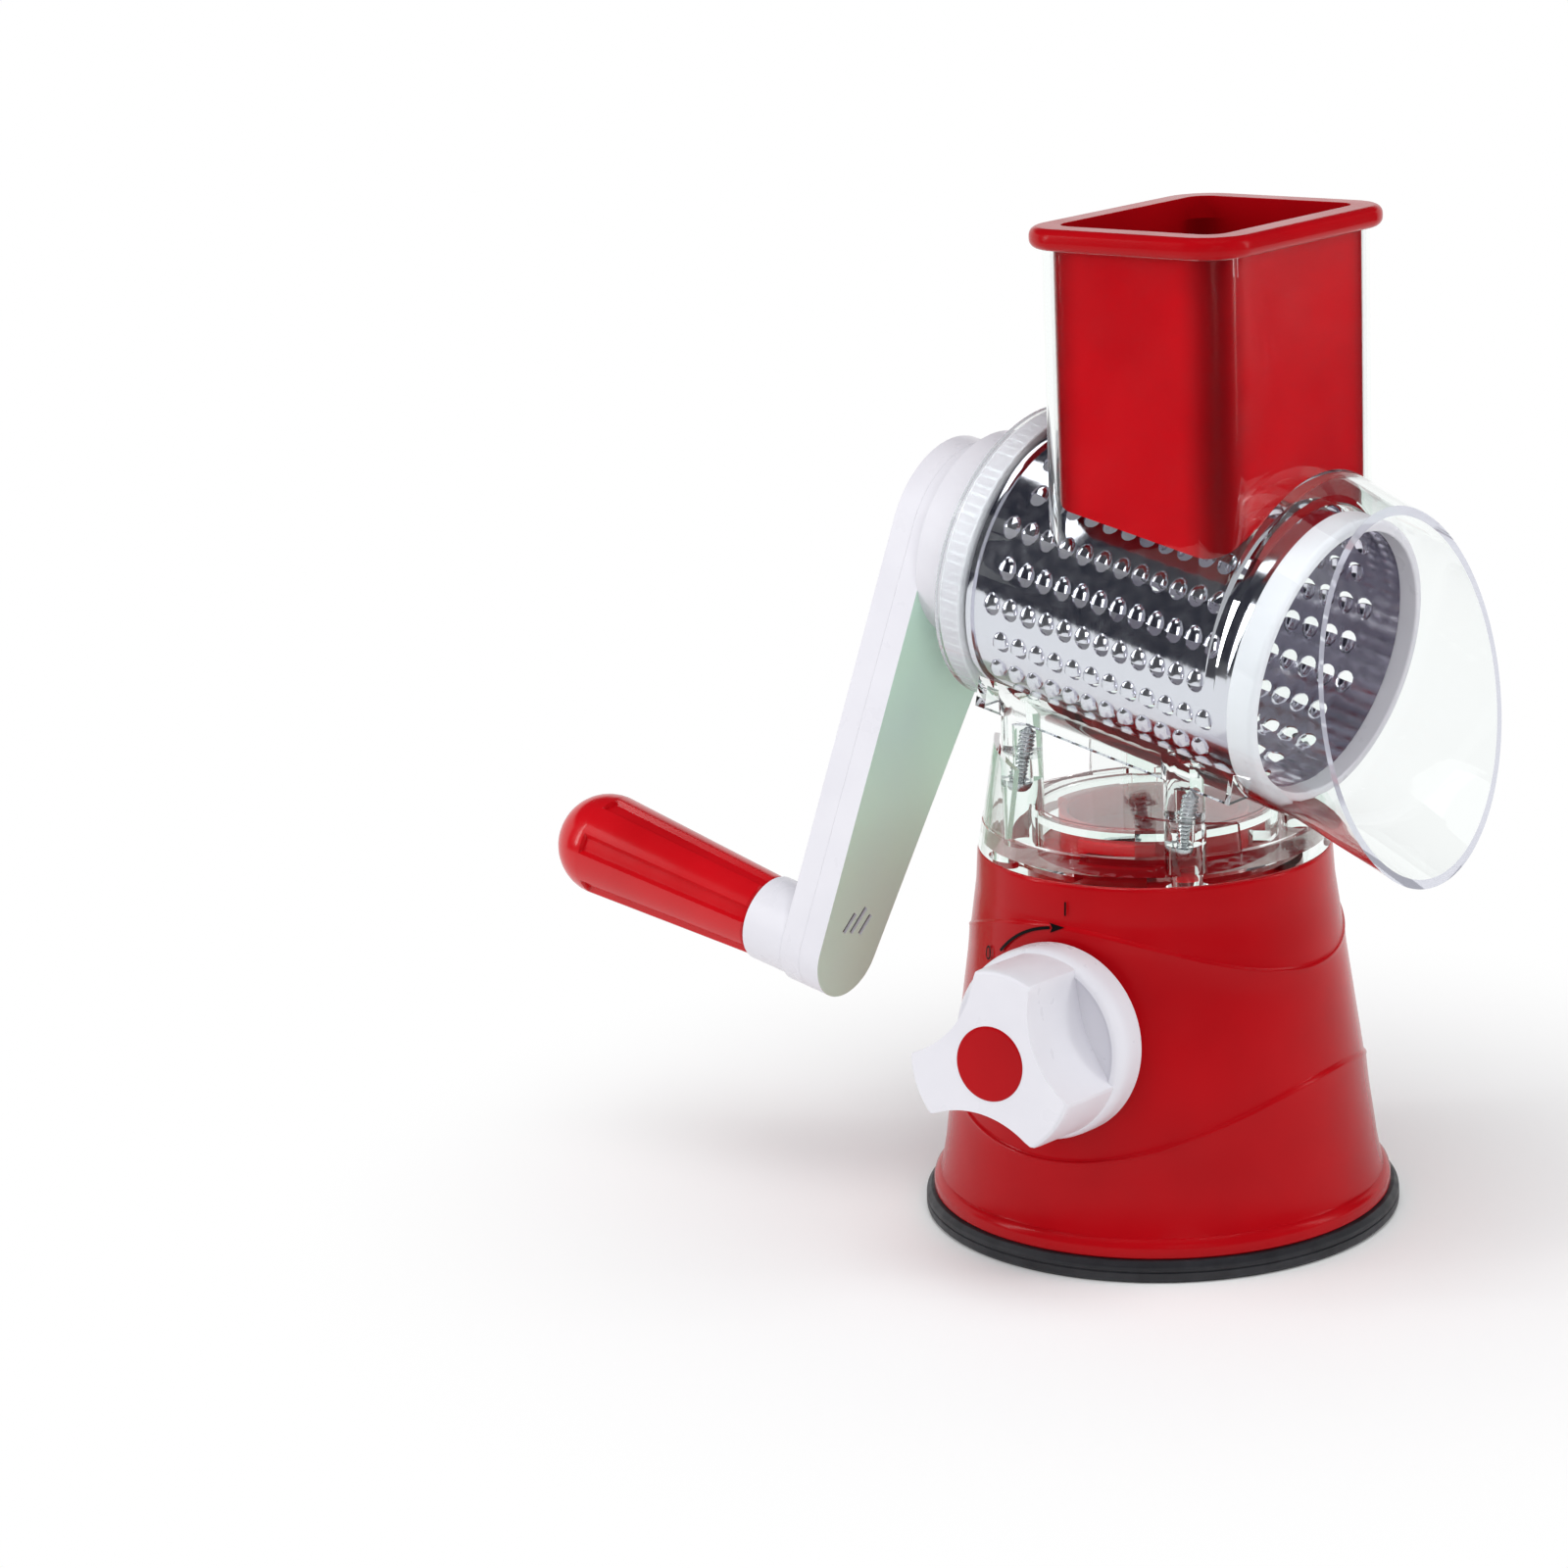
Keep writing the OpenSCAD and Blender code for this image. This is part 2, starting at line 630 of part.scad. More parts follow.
// Three slanted grooves across the tip, the middle one the longest
module tip_grooves() grip_frame() for (i = [-1:1])
    translate([i * groove_pitch, 0, groove_up - abs(i)]) rotate([0, groove_lean, 0])
        along(arm_front - over, arm_front + groove_depth)
            square([groove_w, groove_len - groove_short * abs(i)], center = true);

module crank_arm() color("whitesmoke") difference() {
    union() {
        crank_half(arm_front, arm_mid);
        drum_frame() rod(disc_front, arm_front + eps, disc_r);
        drum_frame() rod(journal_front, disc_front + eps, journal_r);
    }
    drum_frame() rod(journal_front - over, socket_front, journal_bore_r);
    drum_frame() rod(socket_front - eps, arm_mid + over, socket_r);
    at_crank_screws() rod(arm_mid - crank_pilot, arm_mid + over, screw_r);
    grip_frame() rod(arm_mid - spindle_head_t, arm_mid + over, spindle_head_r);
    tip_grooves();
}

module crank_cover() color("whitesmoke") difference() {
    union() {
        crank_half(arm_mid, arm_rear);
        grip_frame() rod(arm_rear - eps, grip_boss_rear, grip_boss_r);
    }
    drum_frame() rod(arm_mid - over, socket_rear, socket_r);
    at_crank_screws() rod(arm_mid - over, arm_rear + over, screw_r + snug);
    at_crank_screws() rod(arm_rear - screw_head_t - crank_screw_sink, arm_rear + over,
                          screw_head_r + play);
    grip_frame() rod(arm_mid - over, grip_boss_rear + over, spindle_r);
}

module crank_screws() color("silver") at_crank_screws() {
    rod(arm_rear - screw_head_t - crank_screw_sink, arm_rear - crank_screw_sink, screw_head_r);
    rod(arm_rear - crank_screw_len, arm_rear - screw_head_t, screw_r);
}

module drive_socket() color("whitesmoke") drum_frame() difference() {
    rod(socket_front, socket_rear, socket_r);
    rod(socket_front - over, stub_rear + socket_end_gap, stub_r + shaft_fit);
    along(socket_front - over, stub_rear + socket_end_gap)
        ribs(rib_w + 2 * rib_play, rib_reach + rib_play);
}

// Four ribs across the drum axis
module ribs(w, reach) for (a = [0, 90]) rotate(a) square([w, 2 * reach], center = true);

module grip_spindle() color("silver") grip_frame() difference() {
    union() {
        rod(arm_mid - spindle_head_t, arm_mid, spindle_head_r);
        rod(arm_mid - eps, spindle_rear, spindle_r);
    }
    rod(spindle_rear - spindle_thread, spindle_rear + over, screw_r);
}

module grip_washer() color("silver") grip_frame() difference() {
    rod(spindle_rear, spindle_rear + washer_t, washer_r);
    rod(spindle_rear - over, spindle_rear + washer_t + over, screw_r + snug);
}

module grip_screw() color("silver") grip_frame() {
    rod(spindle_rear - spindle_thread + over, spindle_rear + washer_t + eps, screw_r);
    rod(spindle_rear + washer_t, spindle_rear + washer_t + screw_head_t, screw_head_r);
}

// The grip's full shape, swelling from the crank to its domed far end
module grip_form() rotate([-90, 0, 0]) rotate_extrude() polygon(concat(
    [[0, grip_front],
     [grip_near_r - grip_edge, grip_front],
     [grip_near_r, grip_front + grip_edge]],
    [for (a = [0:7.5:90])
        [grip_far_r * cos(a), grip_rear - grip_dome_len * (1 - sin(a))]]));

module grip() color("crimson") grip_frame() difference() {
    grip_form();
    rod(grip_rear - grip_cap_len, grip_rear + over, 2 * grip_far_r);
    rod(grip_front - over, grip_rear, spindle_r + shaft_fit);
    rod(spindle_rear - play, grip_rear, grip_cavity_r);
}

module grip_cap() color("crimson") grip_frame() difference() {
    union() {
        intersection() {
            grip_form();
            rod(grip_rear - grip_cap_len, grip_rear + over, 2 * grip_far_r);
        }
        rod(grip_rear - grip_cap_len - cap_plug_len, grip_rear - grip_cap_len + eps,
            grip_cavity_r);
    }
    rod(grip_rear - grip_cap_len - cap_plug_len - over, grip_rear - grip_cap_len,
        grip_cavity_r - cap_plug_wall);
}

// ---- drum ----

module drum_shell() color("lightgray") drum_frame() difference() {
    union() {
        rod(drum_front, drum_rear, drum_r);
        rod(drum_rear - hem_t, drum_rear, hem_r);
    }
    rod(drum_front - over, drum_rear + over, drum_r - steel_t);
}

module drum_ring() color("whitesmoke") drum_frame() difference() {
    union() {
        rod(ring_front + ring_edge, ring_rear, ring_r);
        translate([0, ring_front + ring_edge, 0]) rotate([90, 0, 0])
            cylinder(h = ring_edge, r1 = ring_r, r2 = ring_r - ring_edge);
    }
    rod(ring_front - over, drum_front, ring_bore_r);
    rod(drum_front, ring_rear + over, drum_r);
}

module drum_hub() color("whitesmoke") drum_frame() difference() {
    union() {
        rod(hub_disc_front, hub_disc_front + hub_disc_t, drum_r - steel_t);
        rod(hub_disc_front, hub_neck_rear, hub_neck_r);
        rod(hub_disc_front, stub_rear, stub_r);
        intersection() {
            along(hub_neck_rear - eps, rib_rear) ribs(rib_w, rib_reach);
            rod(hub_neck_rear - over, stub_rear, rib_reach);
        }
    }
    rod(hub_disc_front + hub_disc_t, stub_rear + over, stub_bore_r);
}

base_shell();
base_plate();
base_plate_screws();
suction_pad();
plunger();
cam_shaft();
knob();
knob_screw();
knob_cap();
stand();
stand_screws();
housing();
rear_bearing();
pusher();
crank_arm();
crank_cover();
crank_screws();
drive_socket();
grip_spindle();
grip_washer();
grip_screw();
grip();
grip_cap();
drum_shell();
drum_ring();
drum_hub();
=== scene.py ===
import json
import math

import bmesh
import bpy
from mathutils import Matrix, Vector


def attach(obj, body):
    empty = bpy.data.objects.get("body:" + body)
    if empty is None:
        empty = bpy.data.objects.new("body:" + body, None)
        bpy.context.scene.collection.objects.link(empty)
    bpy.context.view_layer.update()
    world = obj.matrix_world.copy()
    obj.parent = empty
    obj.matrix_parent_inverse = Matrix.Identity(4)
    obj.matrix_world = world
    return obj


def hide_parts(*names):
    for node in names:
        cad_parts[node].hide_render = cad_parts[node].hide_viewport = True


# A rotary drum grater on a suction base. Pieces are modelled in millimetres, each in the frame of
# the part that it belongs to, and a frame's matrix puts them in place in metres.

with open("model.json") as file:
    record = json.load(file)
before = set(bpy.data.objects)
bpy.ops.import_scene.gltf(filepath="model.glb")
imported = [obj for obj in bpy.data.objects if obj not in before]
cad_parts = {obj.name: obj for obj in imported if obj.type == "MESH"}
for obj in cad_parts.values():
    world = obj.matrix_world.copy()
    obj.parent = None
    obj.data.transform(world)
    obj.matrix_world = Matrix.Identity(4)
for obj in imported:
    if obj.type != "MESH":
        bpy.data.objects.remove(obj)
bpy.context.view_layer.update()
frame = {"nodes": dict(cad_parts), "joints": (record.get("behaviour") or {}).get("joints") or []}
joints = {j["name"]: j for j in frame["joints"]}

MM = 0.001
TURN = 2 * math.pi


# ---- frames ----

def turned(degrees, axis):
    """A turn by so many degrees round an axis through the origin."""
    return Matrix.Rotation(math.radians(degrees), 4, axis)


ROW = Matrix.Scale(MM, 4)

# Drum frame: y runs along the sloping drum axis towards the crank, z points up from it
drum_axis = Vector(joints["crank_turn"]["axis"])
tilt = math.degrees(math.atan2(drum_axis.z, drum_axis.y))
DRUM = Matrix.Translation(joints["crank_turn"]["pos_m"]) @ turned(tilt, "X") @ ROW

# Crank frame: -z points from the drum axis to the grip's axis
grip_place = DRUM.inverted() @ Vector(joints["grip_spin"]["pos_m"])
crank_angle = math.degrees(math.atan2(-grip_place.x, -grip_place.z))
crank_len = math.hypot(grip_place.x, grip_place.z)
CRANK = DRUM @ turned(crank_angle, "Y")
GRIP = CRANK @ Matrix.Translation((0, 0, -crank_len))

# Knob frame: z points out along the knob's axis, x points down
knob_out = -Vector(joints["knob_turn"]["axis"])
knob_yaw = math.degrees(math.atan2(-knob_out.y, -knob_out.x))
knob_tilt = math.degrees(math.asin(knob_out.z))
KNOB = (Matrix.Translation(joints["knob_turn"]["pos_m"])
        @ turned(180 + knob_yaw, "Z") @ turned(90 - knob_tilt, "Y") @ ROW)


def size_in(place, *nodes):
    """Lowest and highest corners of CAD nodes, in a frame's own millimetres."""
    back = place.inverted()
    points = [back @ v.co for n in nodes for v in frame["nodes"][n].data.vertices]
    low = Vector([min(p[i] for p in points) for i in range(3)])
    high = Vector([max(p[i] for p in points) for i in range(3)])
    return low, high


# ---- materials ----

def colour(code):
    """A colour written in sRGB hex, as linear red, green, blue and alpha."""
    parts = [int(code[i:i + 2], 16) / 255 for i in (1, 3, 5)]
    return [p / 12.92 if p <= 0.04045 else ((p + 0.055) / 1.055) ** 2.4 for p in parts] + [1]


def add(tree, kind, settings=None, links=None):
    """A shader node with its settings and the sockets that feed it."""
    node = tree.nodes.new(kind)
    for name, value in (settings or {}).items():
        if isinstance(name, str) and hasattr(node, name) and name not in node.inputs:
            setattr(node, name, value)
        else:
            node.inputs[name].default_value = value
    for name, socket in (links or {}).items():
        tree.links.new(socket, node.inputs[name])
    return node


def new_material(name):
    """An empty material and its tree."""
    material = bpy.data.materials.new(name)
    material.use_nodes = True
    material.node_tree.nodes.clear()
    return material, material.node_tree


def finished(material, surface):
    """A material that shows this shader on its surface."""
    add(material.node_tree, "ShaderNodeOutputMaterial", None, {"Surface": surface})
    return material


def mottle(tree, spacing, low, high):
    """Soft patches about so many millimetres apart, between two values."""
    place = add(tree, "ShaderNodeTexCoord")
    noise = add(tree, "ShaderNodeTexNoise",
                {"Scale": 1 / (spacing * MM), "Detail": 3.0, "Roughness": 0.55},
                {"Vector": place.outputs["Object"]})
    return add(tree, "ShaderNodeMapRange",
               {"From Min": 0.3, "From Max": 0.7, "To Min": low, "To Max": high},
               {"Value": noise.outputs["Fac"]}).outputs["Result"]


def fine_relief(tree, spacing, height):
    """Bump of a surface texture: its spacing and its height in millimetres."""
    place = add(tree, "ShaderNodeTexCoord")
    noise = add(tree, "ShaderNodeTexNoise", {"Scale": 1 / (spacing * MM), "Detail": 2.0},
                {"Vector": place.outputs["Object"]})
    return add(tree, "ShaderNodeBump", {"Strength": 1.0, "Distance": height * MM},
               {"Height": noise.outputs["Fac"]}).outputs["Normal"]


def painted_corner_shade(tree, low, high, top):
    """Painted shade: a share that falls towards the four upright corners of a box, up to the height called
    top.
    The box's lowest and highest corners are given in metres."""
    darkest, corner_edge, fade_long = 0.22, 0.5, 12
    place = add(tree, "ShaderNodeTexCoord")
    parts = add(tree, "ShaderNodeSeparateXYZ", None, {0: place.outputs["Object"]})
    squares = []
    for i in (0, 1):
        off = add(tree, "ShaderNodeMath", {"operation": "SUBTRACT", 1: (low[i] + high[i]) / 2},
                  {0: parts.outputs[i]})
        side = add(tree, "ShaderNodeMath", {"operation": "ABSOLUTE"}, {0: off.outputs[0]})
        inside = add(tree, "ShaderNodeMath", {"operation": "SUBTRACT", 1: (high[i] - low[i]) / 2},
                     {0: side.outputs[0]})
        squares.append(add(tree, "ShaderNodeMath", {"operation": "POWER", 1: 2.0},
                           {0: inside.outputs[0]}).outputs[0])
    total = add(tree, "ShaderNodeMath", {"operation": "ADD"}, {0: squares[0], 1: squares[1]})
    reach = add(tree, "ShaderNodeMath", {"operation": "SQRT"}, {0: total.outputs[0]})
    share = add(tree, "ShaderNodeMapRange",
                {"interpolation_type": "SMOOTHSTEP", "From Min": corner_edge * MM,
                 "From Max": fade_long * MM, "To Min": darkest, "To Max": 1.0},
                {"Value": reach.outputs[0]})
    above = add(tree, "ShaderNodeMath", {"operation": "GREATER_THAN", 1: top}, {0: parts.outputs[2]})
    return add(tree, "ShaderNodeMath", {"operation": "MAXIMUM"},
               {0: share.outputs["Result"], 1: above.outputs[0]}).outputs[0]


def moulded_plastic(name, hexcode, deep_hexcode, rough, flow, ripple, shine=0.3, box=None):
    """Opaque moulded plastic: its colour drifts a little where the melt flowed, the mould's polish
    varies, and a faint long ripple bends its highlights. A box's upright corners get painted shade."""
    material, tree = new_material(name)
    tint = add(tree, "ShaderNodeMix",
               {"data_type": "RGBA", 6: colour(hexcode), 7: colour(deep_hexcode)},
               {"Factor": mottle(tree, flow, 0.0, 1.0)})
    if box:
        # painted shade darkens the colour towards the box's upright corners
        tint = add(tree, "ShaderNodeMix",
                   {"data_type": "RGBA", "blend_type": "MULTIPLY", "Factor": 1.0},
                   {6: tint.outputs[2], 7: painted_corner_shade(tree, *box)})
    shader = add(tree, "ShaderNodeBsdfPrincipled", {"IOR": 1.5, "Specular IOR Level": shine},
                 {"Base Color": tint.outputs[2],
                  "Roughness": mottle(tree, flow / 3, rough * 0.85, rough * 1.2),
                  "Normal": fine_relief(tree, ripple, 0.012)})
    return finished(material, shader.outputs["BSDF"])


def clear_polystyrene():
    """Clear crystal polystyrene, moulded: water-clear with a faint green cast, bright lines where
    its edges bend the light, and a faint waviness. Lamps shine through it, and light that has been
    turned more than a few times goes straight on."""
    most_turns = 3.5
    material, tree = new_material("clear_polystyrene")
    # set below polystyrene's 1.59, so that the many thin edges stay bright
    glass = add(tree, "ShaderNodeBsdfPrincipled",
                {"Base Color": colour("#FBFEFD"), "IOR": 1.33, "Roughness": 0.0,
                 "Transmission Weight": 1.0}, {"Normal": fine_relief(tree, 14, 0.02)})
    see_through = add(tree, "ShaderNodeBsdfTransparent", {"Color": colour("#FBFDFC")})
    path = add(tree, "ShaderNodeLightPath")
    deep = add(tree, "ShaderNodeMath", {"operation": "GREATER_THAN", 1: most_turns},
               {0: path.outputs["Ray Depth"]})
    straight = add(tree, "ShaderNodeMath", {"operation": "MAXIMUM"},
                   {0: path.outputs["Is Shadow Ray"], 1: deep.outputs["Value"]})
    mix = add(tree, "ShaderNodeMixShader", None,
              {"Fac": straight.outputs["Value"], 1: glass.outputs["BSDF"],
               2: see_through.outputs["BSDF"]})
    return finished(material, mix.outputs["Shader"])


def painted_rim_polystyrene():
    """The rim of a clear moulding seen on its edge: a pale lavender grey, partly see-through, that
    paints the light which the clear edge bends and reflects.
    """
    clear_share = 0.4
    material, tree = new_material("clear_polystyrene_painted_rim")
    pale = add(tree, "ShaderNodeBsdfPrincipled", {"Base Color": colour("#C9CAD6"), "IOR": 1.5},
               {"Roughness": mottle(tree, 4, 0.15, 0.25)})
    through = add(tree, "ShaderNodeBsdfTransparent", {"Color": colour("#F4F4FA")})
    mix = add(tree, "ShaderNodeMixShader", {"Fac": clear_share},
              {1: pale.outputs["BSDF"], 2: through.outputs["BSDF"]})
    return finished(material, mix.outputs["Shader"])


def polished_steel():
    """Polished stainless sheet, rolled: a mirror that fine wear clouds in patches and rolling left
    very slightly wavy."""
    material, tree = new_material("polished_stainless")
    shader = add(tree, "ShaderNodeBsdfPrincipled", {"Base Color": colour("#DEDCE6"), "Metallic": 1.0},
                 {"Roughness": mottle(tree, 3, 0.08, 0.16), "Normal": fine_relief(tree, 9, 0.02)})
    return finished(material, shader.outputs["BSDF"])


def plated_steel():
    """Zinc-plated steel screws: bright and slightly clouded."""
    material, tree = new_material("zinc_plated_steel")
    shader = add(tree, "ShaderNodeBsdfPrincipled", {"Base Color": colour("#C4C6CA"), "Metallic": 1.0},
                 {"Roughness": mottle(tree, 1.5, 0.22, 0.36)})
    return finished(material, shader.outputs["BSDF"])


def black_rubber():
    """Black rubber: matt, with a fine moulded grain and a dusty bloom in patches."""
    material, tree = new_material("black_rubber")
    tint = add(tree, "ShaderNodeMix",
               {"data_type": "RGBA", 6: colour("#1B1C20"), 7: colour("#2A2B30")},
               {"Factor": mottle(tree, 8, 0.0, 1.0)})
    shader = add(tree, "ShaderNodeBsdfPrincipled", {"IOR": 1.5},
                 {"Base Color": tint.outputs[2], "Roughness": mottle(tree, 5, 0.42, 0.6),
                  "Normal": fine_relief(tree, 1.2, 0.03)})
    return finished(material, shader.outputs["BSDF"])


def printing_ink():
    """Black screen-printed ink: a thin satin film."""
    material, tree = new_material("black_ink")
    shader = add(tree, "ShaderNodeBsdfPrincipled",
                 {"Base Color": colour("#0C0507"), "Specular IOR Level": 0.1},
                 {"Roughness": mottle(tree, 1, 0.35, 0.5)})
    return finished(material, shader.outputs["BSDF"])


# base shell and cap disc: a deep crimson with little shine
red_abs = moulded_plastic("red_abs", "#AE0711", "#9F050E", 0.2, 40, 30, shine=0.14)
# grip: a brighter red that shows the lamps along its flutes
grip_abs = moulded_plastic("glossy_red_abs", "#C80A16", "#B90711", 0.2, 40, 30, shine=0.45)
# knob, crank and hub: a cool, faintly lavender white
white_abs = moulded_plastic("white_abs", "#E0DFE5", "#D9D8DF", 0.3, 30, 25)
# the rings round the steel drum: the white with painted shade, a little greyer so that their lit faces do
# not glare
white_abs_painted_shade = moulded_plastic("white_abs_painted_shade", "#CECDD3", "#C8C7CE", 0.3, 30, 25)
# front face of the crank: painted light, a brighter copy of the crank's white with a mint cast, standing
# in for the light on that face
front_face_painted_light = moulded_plastic("front_face_painted_light", "#D2F6DC", "#D0EEE0", 0.4, 60, 25)
# plunger and cam shaft: matt grey
grey_nylon = moulded_plastic("grey_nylon", "#B8BABA", "#AEB0B0", 0.45, 20, 10)
# base plate: matt black; the floors of the crank's slots take it as painted shade
black_abs = moulded_plastic("black_abs", "#1A1A1C", "#202024", 0.45, 20, 10)
clear_ps = clear_polystyrene()
painted_rim_ps = painted_rim_polystyrene()
steel = polished_steel()
zinc = plated_steel()
rubber = black_rubber()
ink = printing_ink()


# ---- shaping ----

def fillet(points, steps=5):
    """An outline whose corners that give a radius, (x, y, radius), are rounded with an arc."""
    done = []
    count = len(points)
    for i, p in enumerate(points):
        if len(p) == 2 or p[2] == 0:
            done.append((p[0], p[1]))
            continue
        here = Vector(p[:2])
        a = (Vector(points[i - 1][:2]) - here).normalized()
        b = (Vector(points[(i + 1) % count][:2]) - here).normalized()
        half = a.angle(b) / 2
        centre = here + (a + b).normalized() * (p[2] / math.sin(half))
        first = here + a * (p[2] / math.tan(half)) - centre
        last = here + b * (p[2] / math.tan(half)) - centre
        sweep = first.angle_signed(last)
        for k in range(steps + 1):
            arm = first.copy()
            arm.rotate(Matrix.Rotation(-sweep * k / steps, 2))
            done.append(tuple(centre + arm))
    return done


def lathe(profile, steps=128, closed=False):
    """A form turned round z from its half section, (radius, height) points. An open section runs
    from one point on the axis to another."""
    bm = bmesh.new()
    verts = [bm.verts.new((r, 0, z)) for r, z in profile]
    pairs = list(zip(verts, verts[1:])) + ([(verts[-1], verts[0])] if closed else [])
    edges = [bm.edges.new(pair) for pair in pairs]
    bmesh.ops.spin(bm, geom=verts + edges, cent=(0, 0, 0), axis=(0, 0, 1), angle=TURN,
                   steps=steps, use_merge=True)
    bmesh.ops.remove_doubles(bm, verts=bm.verts, dist=0.0005)
    bmesh.ops.recalc_face_normals(bm, faces=bm.faces)
    return bm


def join(*meshes):
    """Several meshes as one."""
    joined = bmesh.new()
    for bm in meshes:
        spare = bpy.data.meshes.new("spare")
        bm.to_mesh(spare)
        joined.from_mesh(spare)
        bpy.data.meshes.remove(spare)
        bm.free()
    return joined


def link_mesh(bm, name, materials):
    """A finished mesh as an object of the scene, with its materials."""
    mesh = bpy.data.meshes.new(name)
    bm.to_mesh(mesh)
    bm.free()
    for material in materials:
        mesh.materials.append(material)
    made = bpy.data.objects.new(name, mesh)
    bpy.context.scene.collection.objects.link(made)
    return made


def piece(bm, name, place, materials, body, stands_for=(), crease=35):
    """Puts a finished mesh in place, gives it its materials and makes it ride on a body."""
    bmesh.ops.transform(bm, matrix=place, verts=bm.verts)
    made = link_mesh(bm, name, materials)
    made.data.shade_smooth()
    made.data.set_sharp_from_angle(angle=math.radians(crease))
    # flat faces stay flat beside their rounded edges
    flat = made.modifiers.new("flat_faces", "WEIGHTED_NORMAL")
    flat.keep_sharp = True
    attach(made, body)
    if stands_for:
        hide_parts(*stands_for)
    return made


def dress(node, material):
    """Gives a CAD node its finish."""
    slots = frame["nodes"][node].data.materials
    slots.clear()
    slots.append(material)


def moved(bm, matrix):
    """A mesh carried over from one frame to another."""
    bmesh.ops.transform(bm, matrix=matrix, verts=bm.verts)
    return bm


def sector(section, middle, span, steps=12):
    """A closed half section, (radius, height) points, turned through part of a turn only."""
    bm = bmesh.new()
    face = bm.faces.new([bm.verts.new((r, 0, z)) for r, z in section])
    bmesh.ops.spin(bm, geom=[face], cent=(0, 0, 0), axis=(0, 0, 1), angle=math.radians(span),
                   steps=steps)
    bmesh.ops.recalc_face_normals(bm, faces=bm.faces)
    return moved(bm, turned(middle - span / 2, "Z"))


def softened(node, width, segments=2, corner=25, fine=None, fine_width=0.3):
    """A copy of a CAD node with its sharp edges rounded, in metres in the row frame. Edges whose
    middle, in millimetres, passes the test called fine get the second, smaller width."""
    bm = bmesh.new()
    bm.from_mesh(frame["nodes"][node].data)
    bmesh.ops.remove_doubles(bm, verts=bm.verts, dist=2e-6)
    bmesh.ops.dissolve_degenerate(bm, edges=bm.edges, dist=2e-6)
    bmesh.ops.dissolve_limit(bm, verts=bm.verts, edges=bm.edges, angle_limit=math.radians(0.5))
    for size, parts, small in ((width, segments, False), (fine_width, 2, True)):
        sharp = []
        for e in bm.edges:
            middle = (e.verts[0].co + e.verts[1].co) / (2 * MM)
            if e.is_manifold and e.calc_face_angle(0) > math.radians(corner):
                if bool(fine and fine(middle)) == small:
                    sharp.append(e)
        bmesh.ops.bevel(bm, geom=sharp, offset=size * MM, offset_type="OFFSET", affect="EDGES",
                        segments=parts, profile=0.5, material=-1, clamp_overlap=True)
    return bm


def loft(sections):
    """A form through rings of points with equal counts, one after another, closed at its ends."""
    bm = bmesh.new()
    rings = [[bm.verts.new(p) for p in section] for section in sections]
    count = len(rings[0])
    for low, high in zip(rings, rings[1:]):
        for i in range(count):
            j = (i + 1) % count
            bm.faces.new((low[i], low[j], high[j], high[i]))
    bm.faces.new(rings[0])
    bm.faces.new(rings[-1])
    bmesh.ops.recalc_face_normals(bm, faces=bm.faces)
    return bm


# ---- base ----

flare_r = size_in(ROW, "base_shell")[1].x
pad_high = size_in(ROW, "suction_pad")[1]
foot_r, foot_h = pad_high.x, pad_high.z
base_top = joints["body_twist"]["pos_m"][2] / MM
base_top_r = 45.6
brow_r, brow_z = 46.2, 89.0       # the band at the top is a little steeper than the cone
cone_r, cone_z = 55.9, 21.5       # where the cone turns into the flare
wave_angle = 183.0                # direction in which the two waves are furthest apart
upper_wave, upper_swing = 80.0, 7.4
lower_wave, lower_swing = 36.8, 8.6
ledge = 0.6                       # how far the tier under a wave stands proud

# Rows of the outer skin: nominal height, and how far it stands proud of the plain cone
tier = [(-9, 0), (-6, 0.08), (-3, 0.24), (-1.4, 0.38), (-0.8, ledge), (-0.45, ledge * 0.93),
        (-0.2, ledge * 0.65), (0, ledge * 0.25), (0.2, 0.04), (0.5, 0), (1.5, 0)]
skin_rows = ([(cone_z, 0)] + [(lower_wave + up, out) for up, out in tier] + [(48, 0), (57, 0), (66, 0)]
             + [(upper_wave + up, out * 0.8) for up, out in tier] + [(85, 0), (brow_z, 0)])


def cone_radius(z):
    """Radius of the plain cone under the tiers."""
    if z > brow_z:
        return brow_r + (base_top_r - brow_r) * (z - brow_z) / (base_top - brow_z)
    return cone_r + (brow_r - cone_r) * (z - cone_z) / (brow_z - cone_z)


def waved(z, angle):
    """Height that a nominal height has in one direction, so that rows follow the waves."""
    swing = math.cos(2 * (angle - math.radians(wave_angle)))
    knots = [(cone_z, cone_z), (lower_wave, lower_wave - lower_swing * swing),
             (upper_wave, upper_wave + upper_swing * swing), (brow_z, brow_z)]
    for (a, wa), (b, wb) in zip(knots, knots[1:]):
        if a <= z <= b:
            return wa + (wb - wa) * (z - a) / (b - a)
    return z


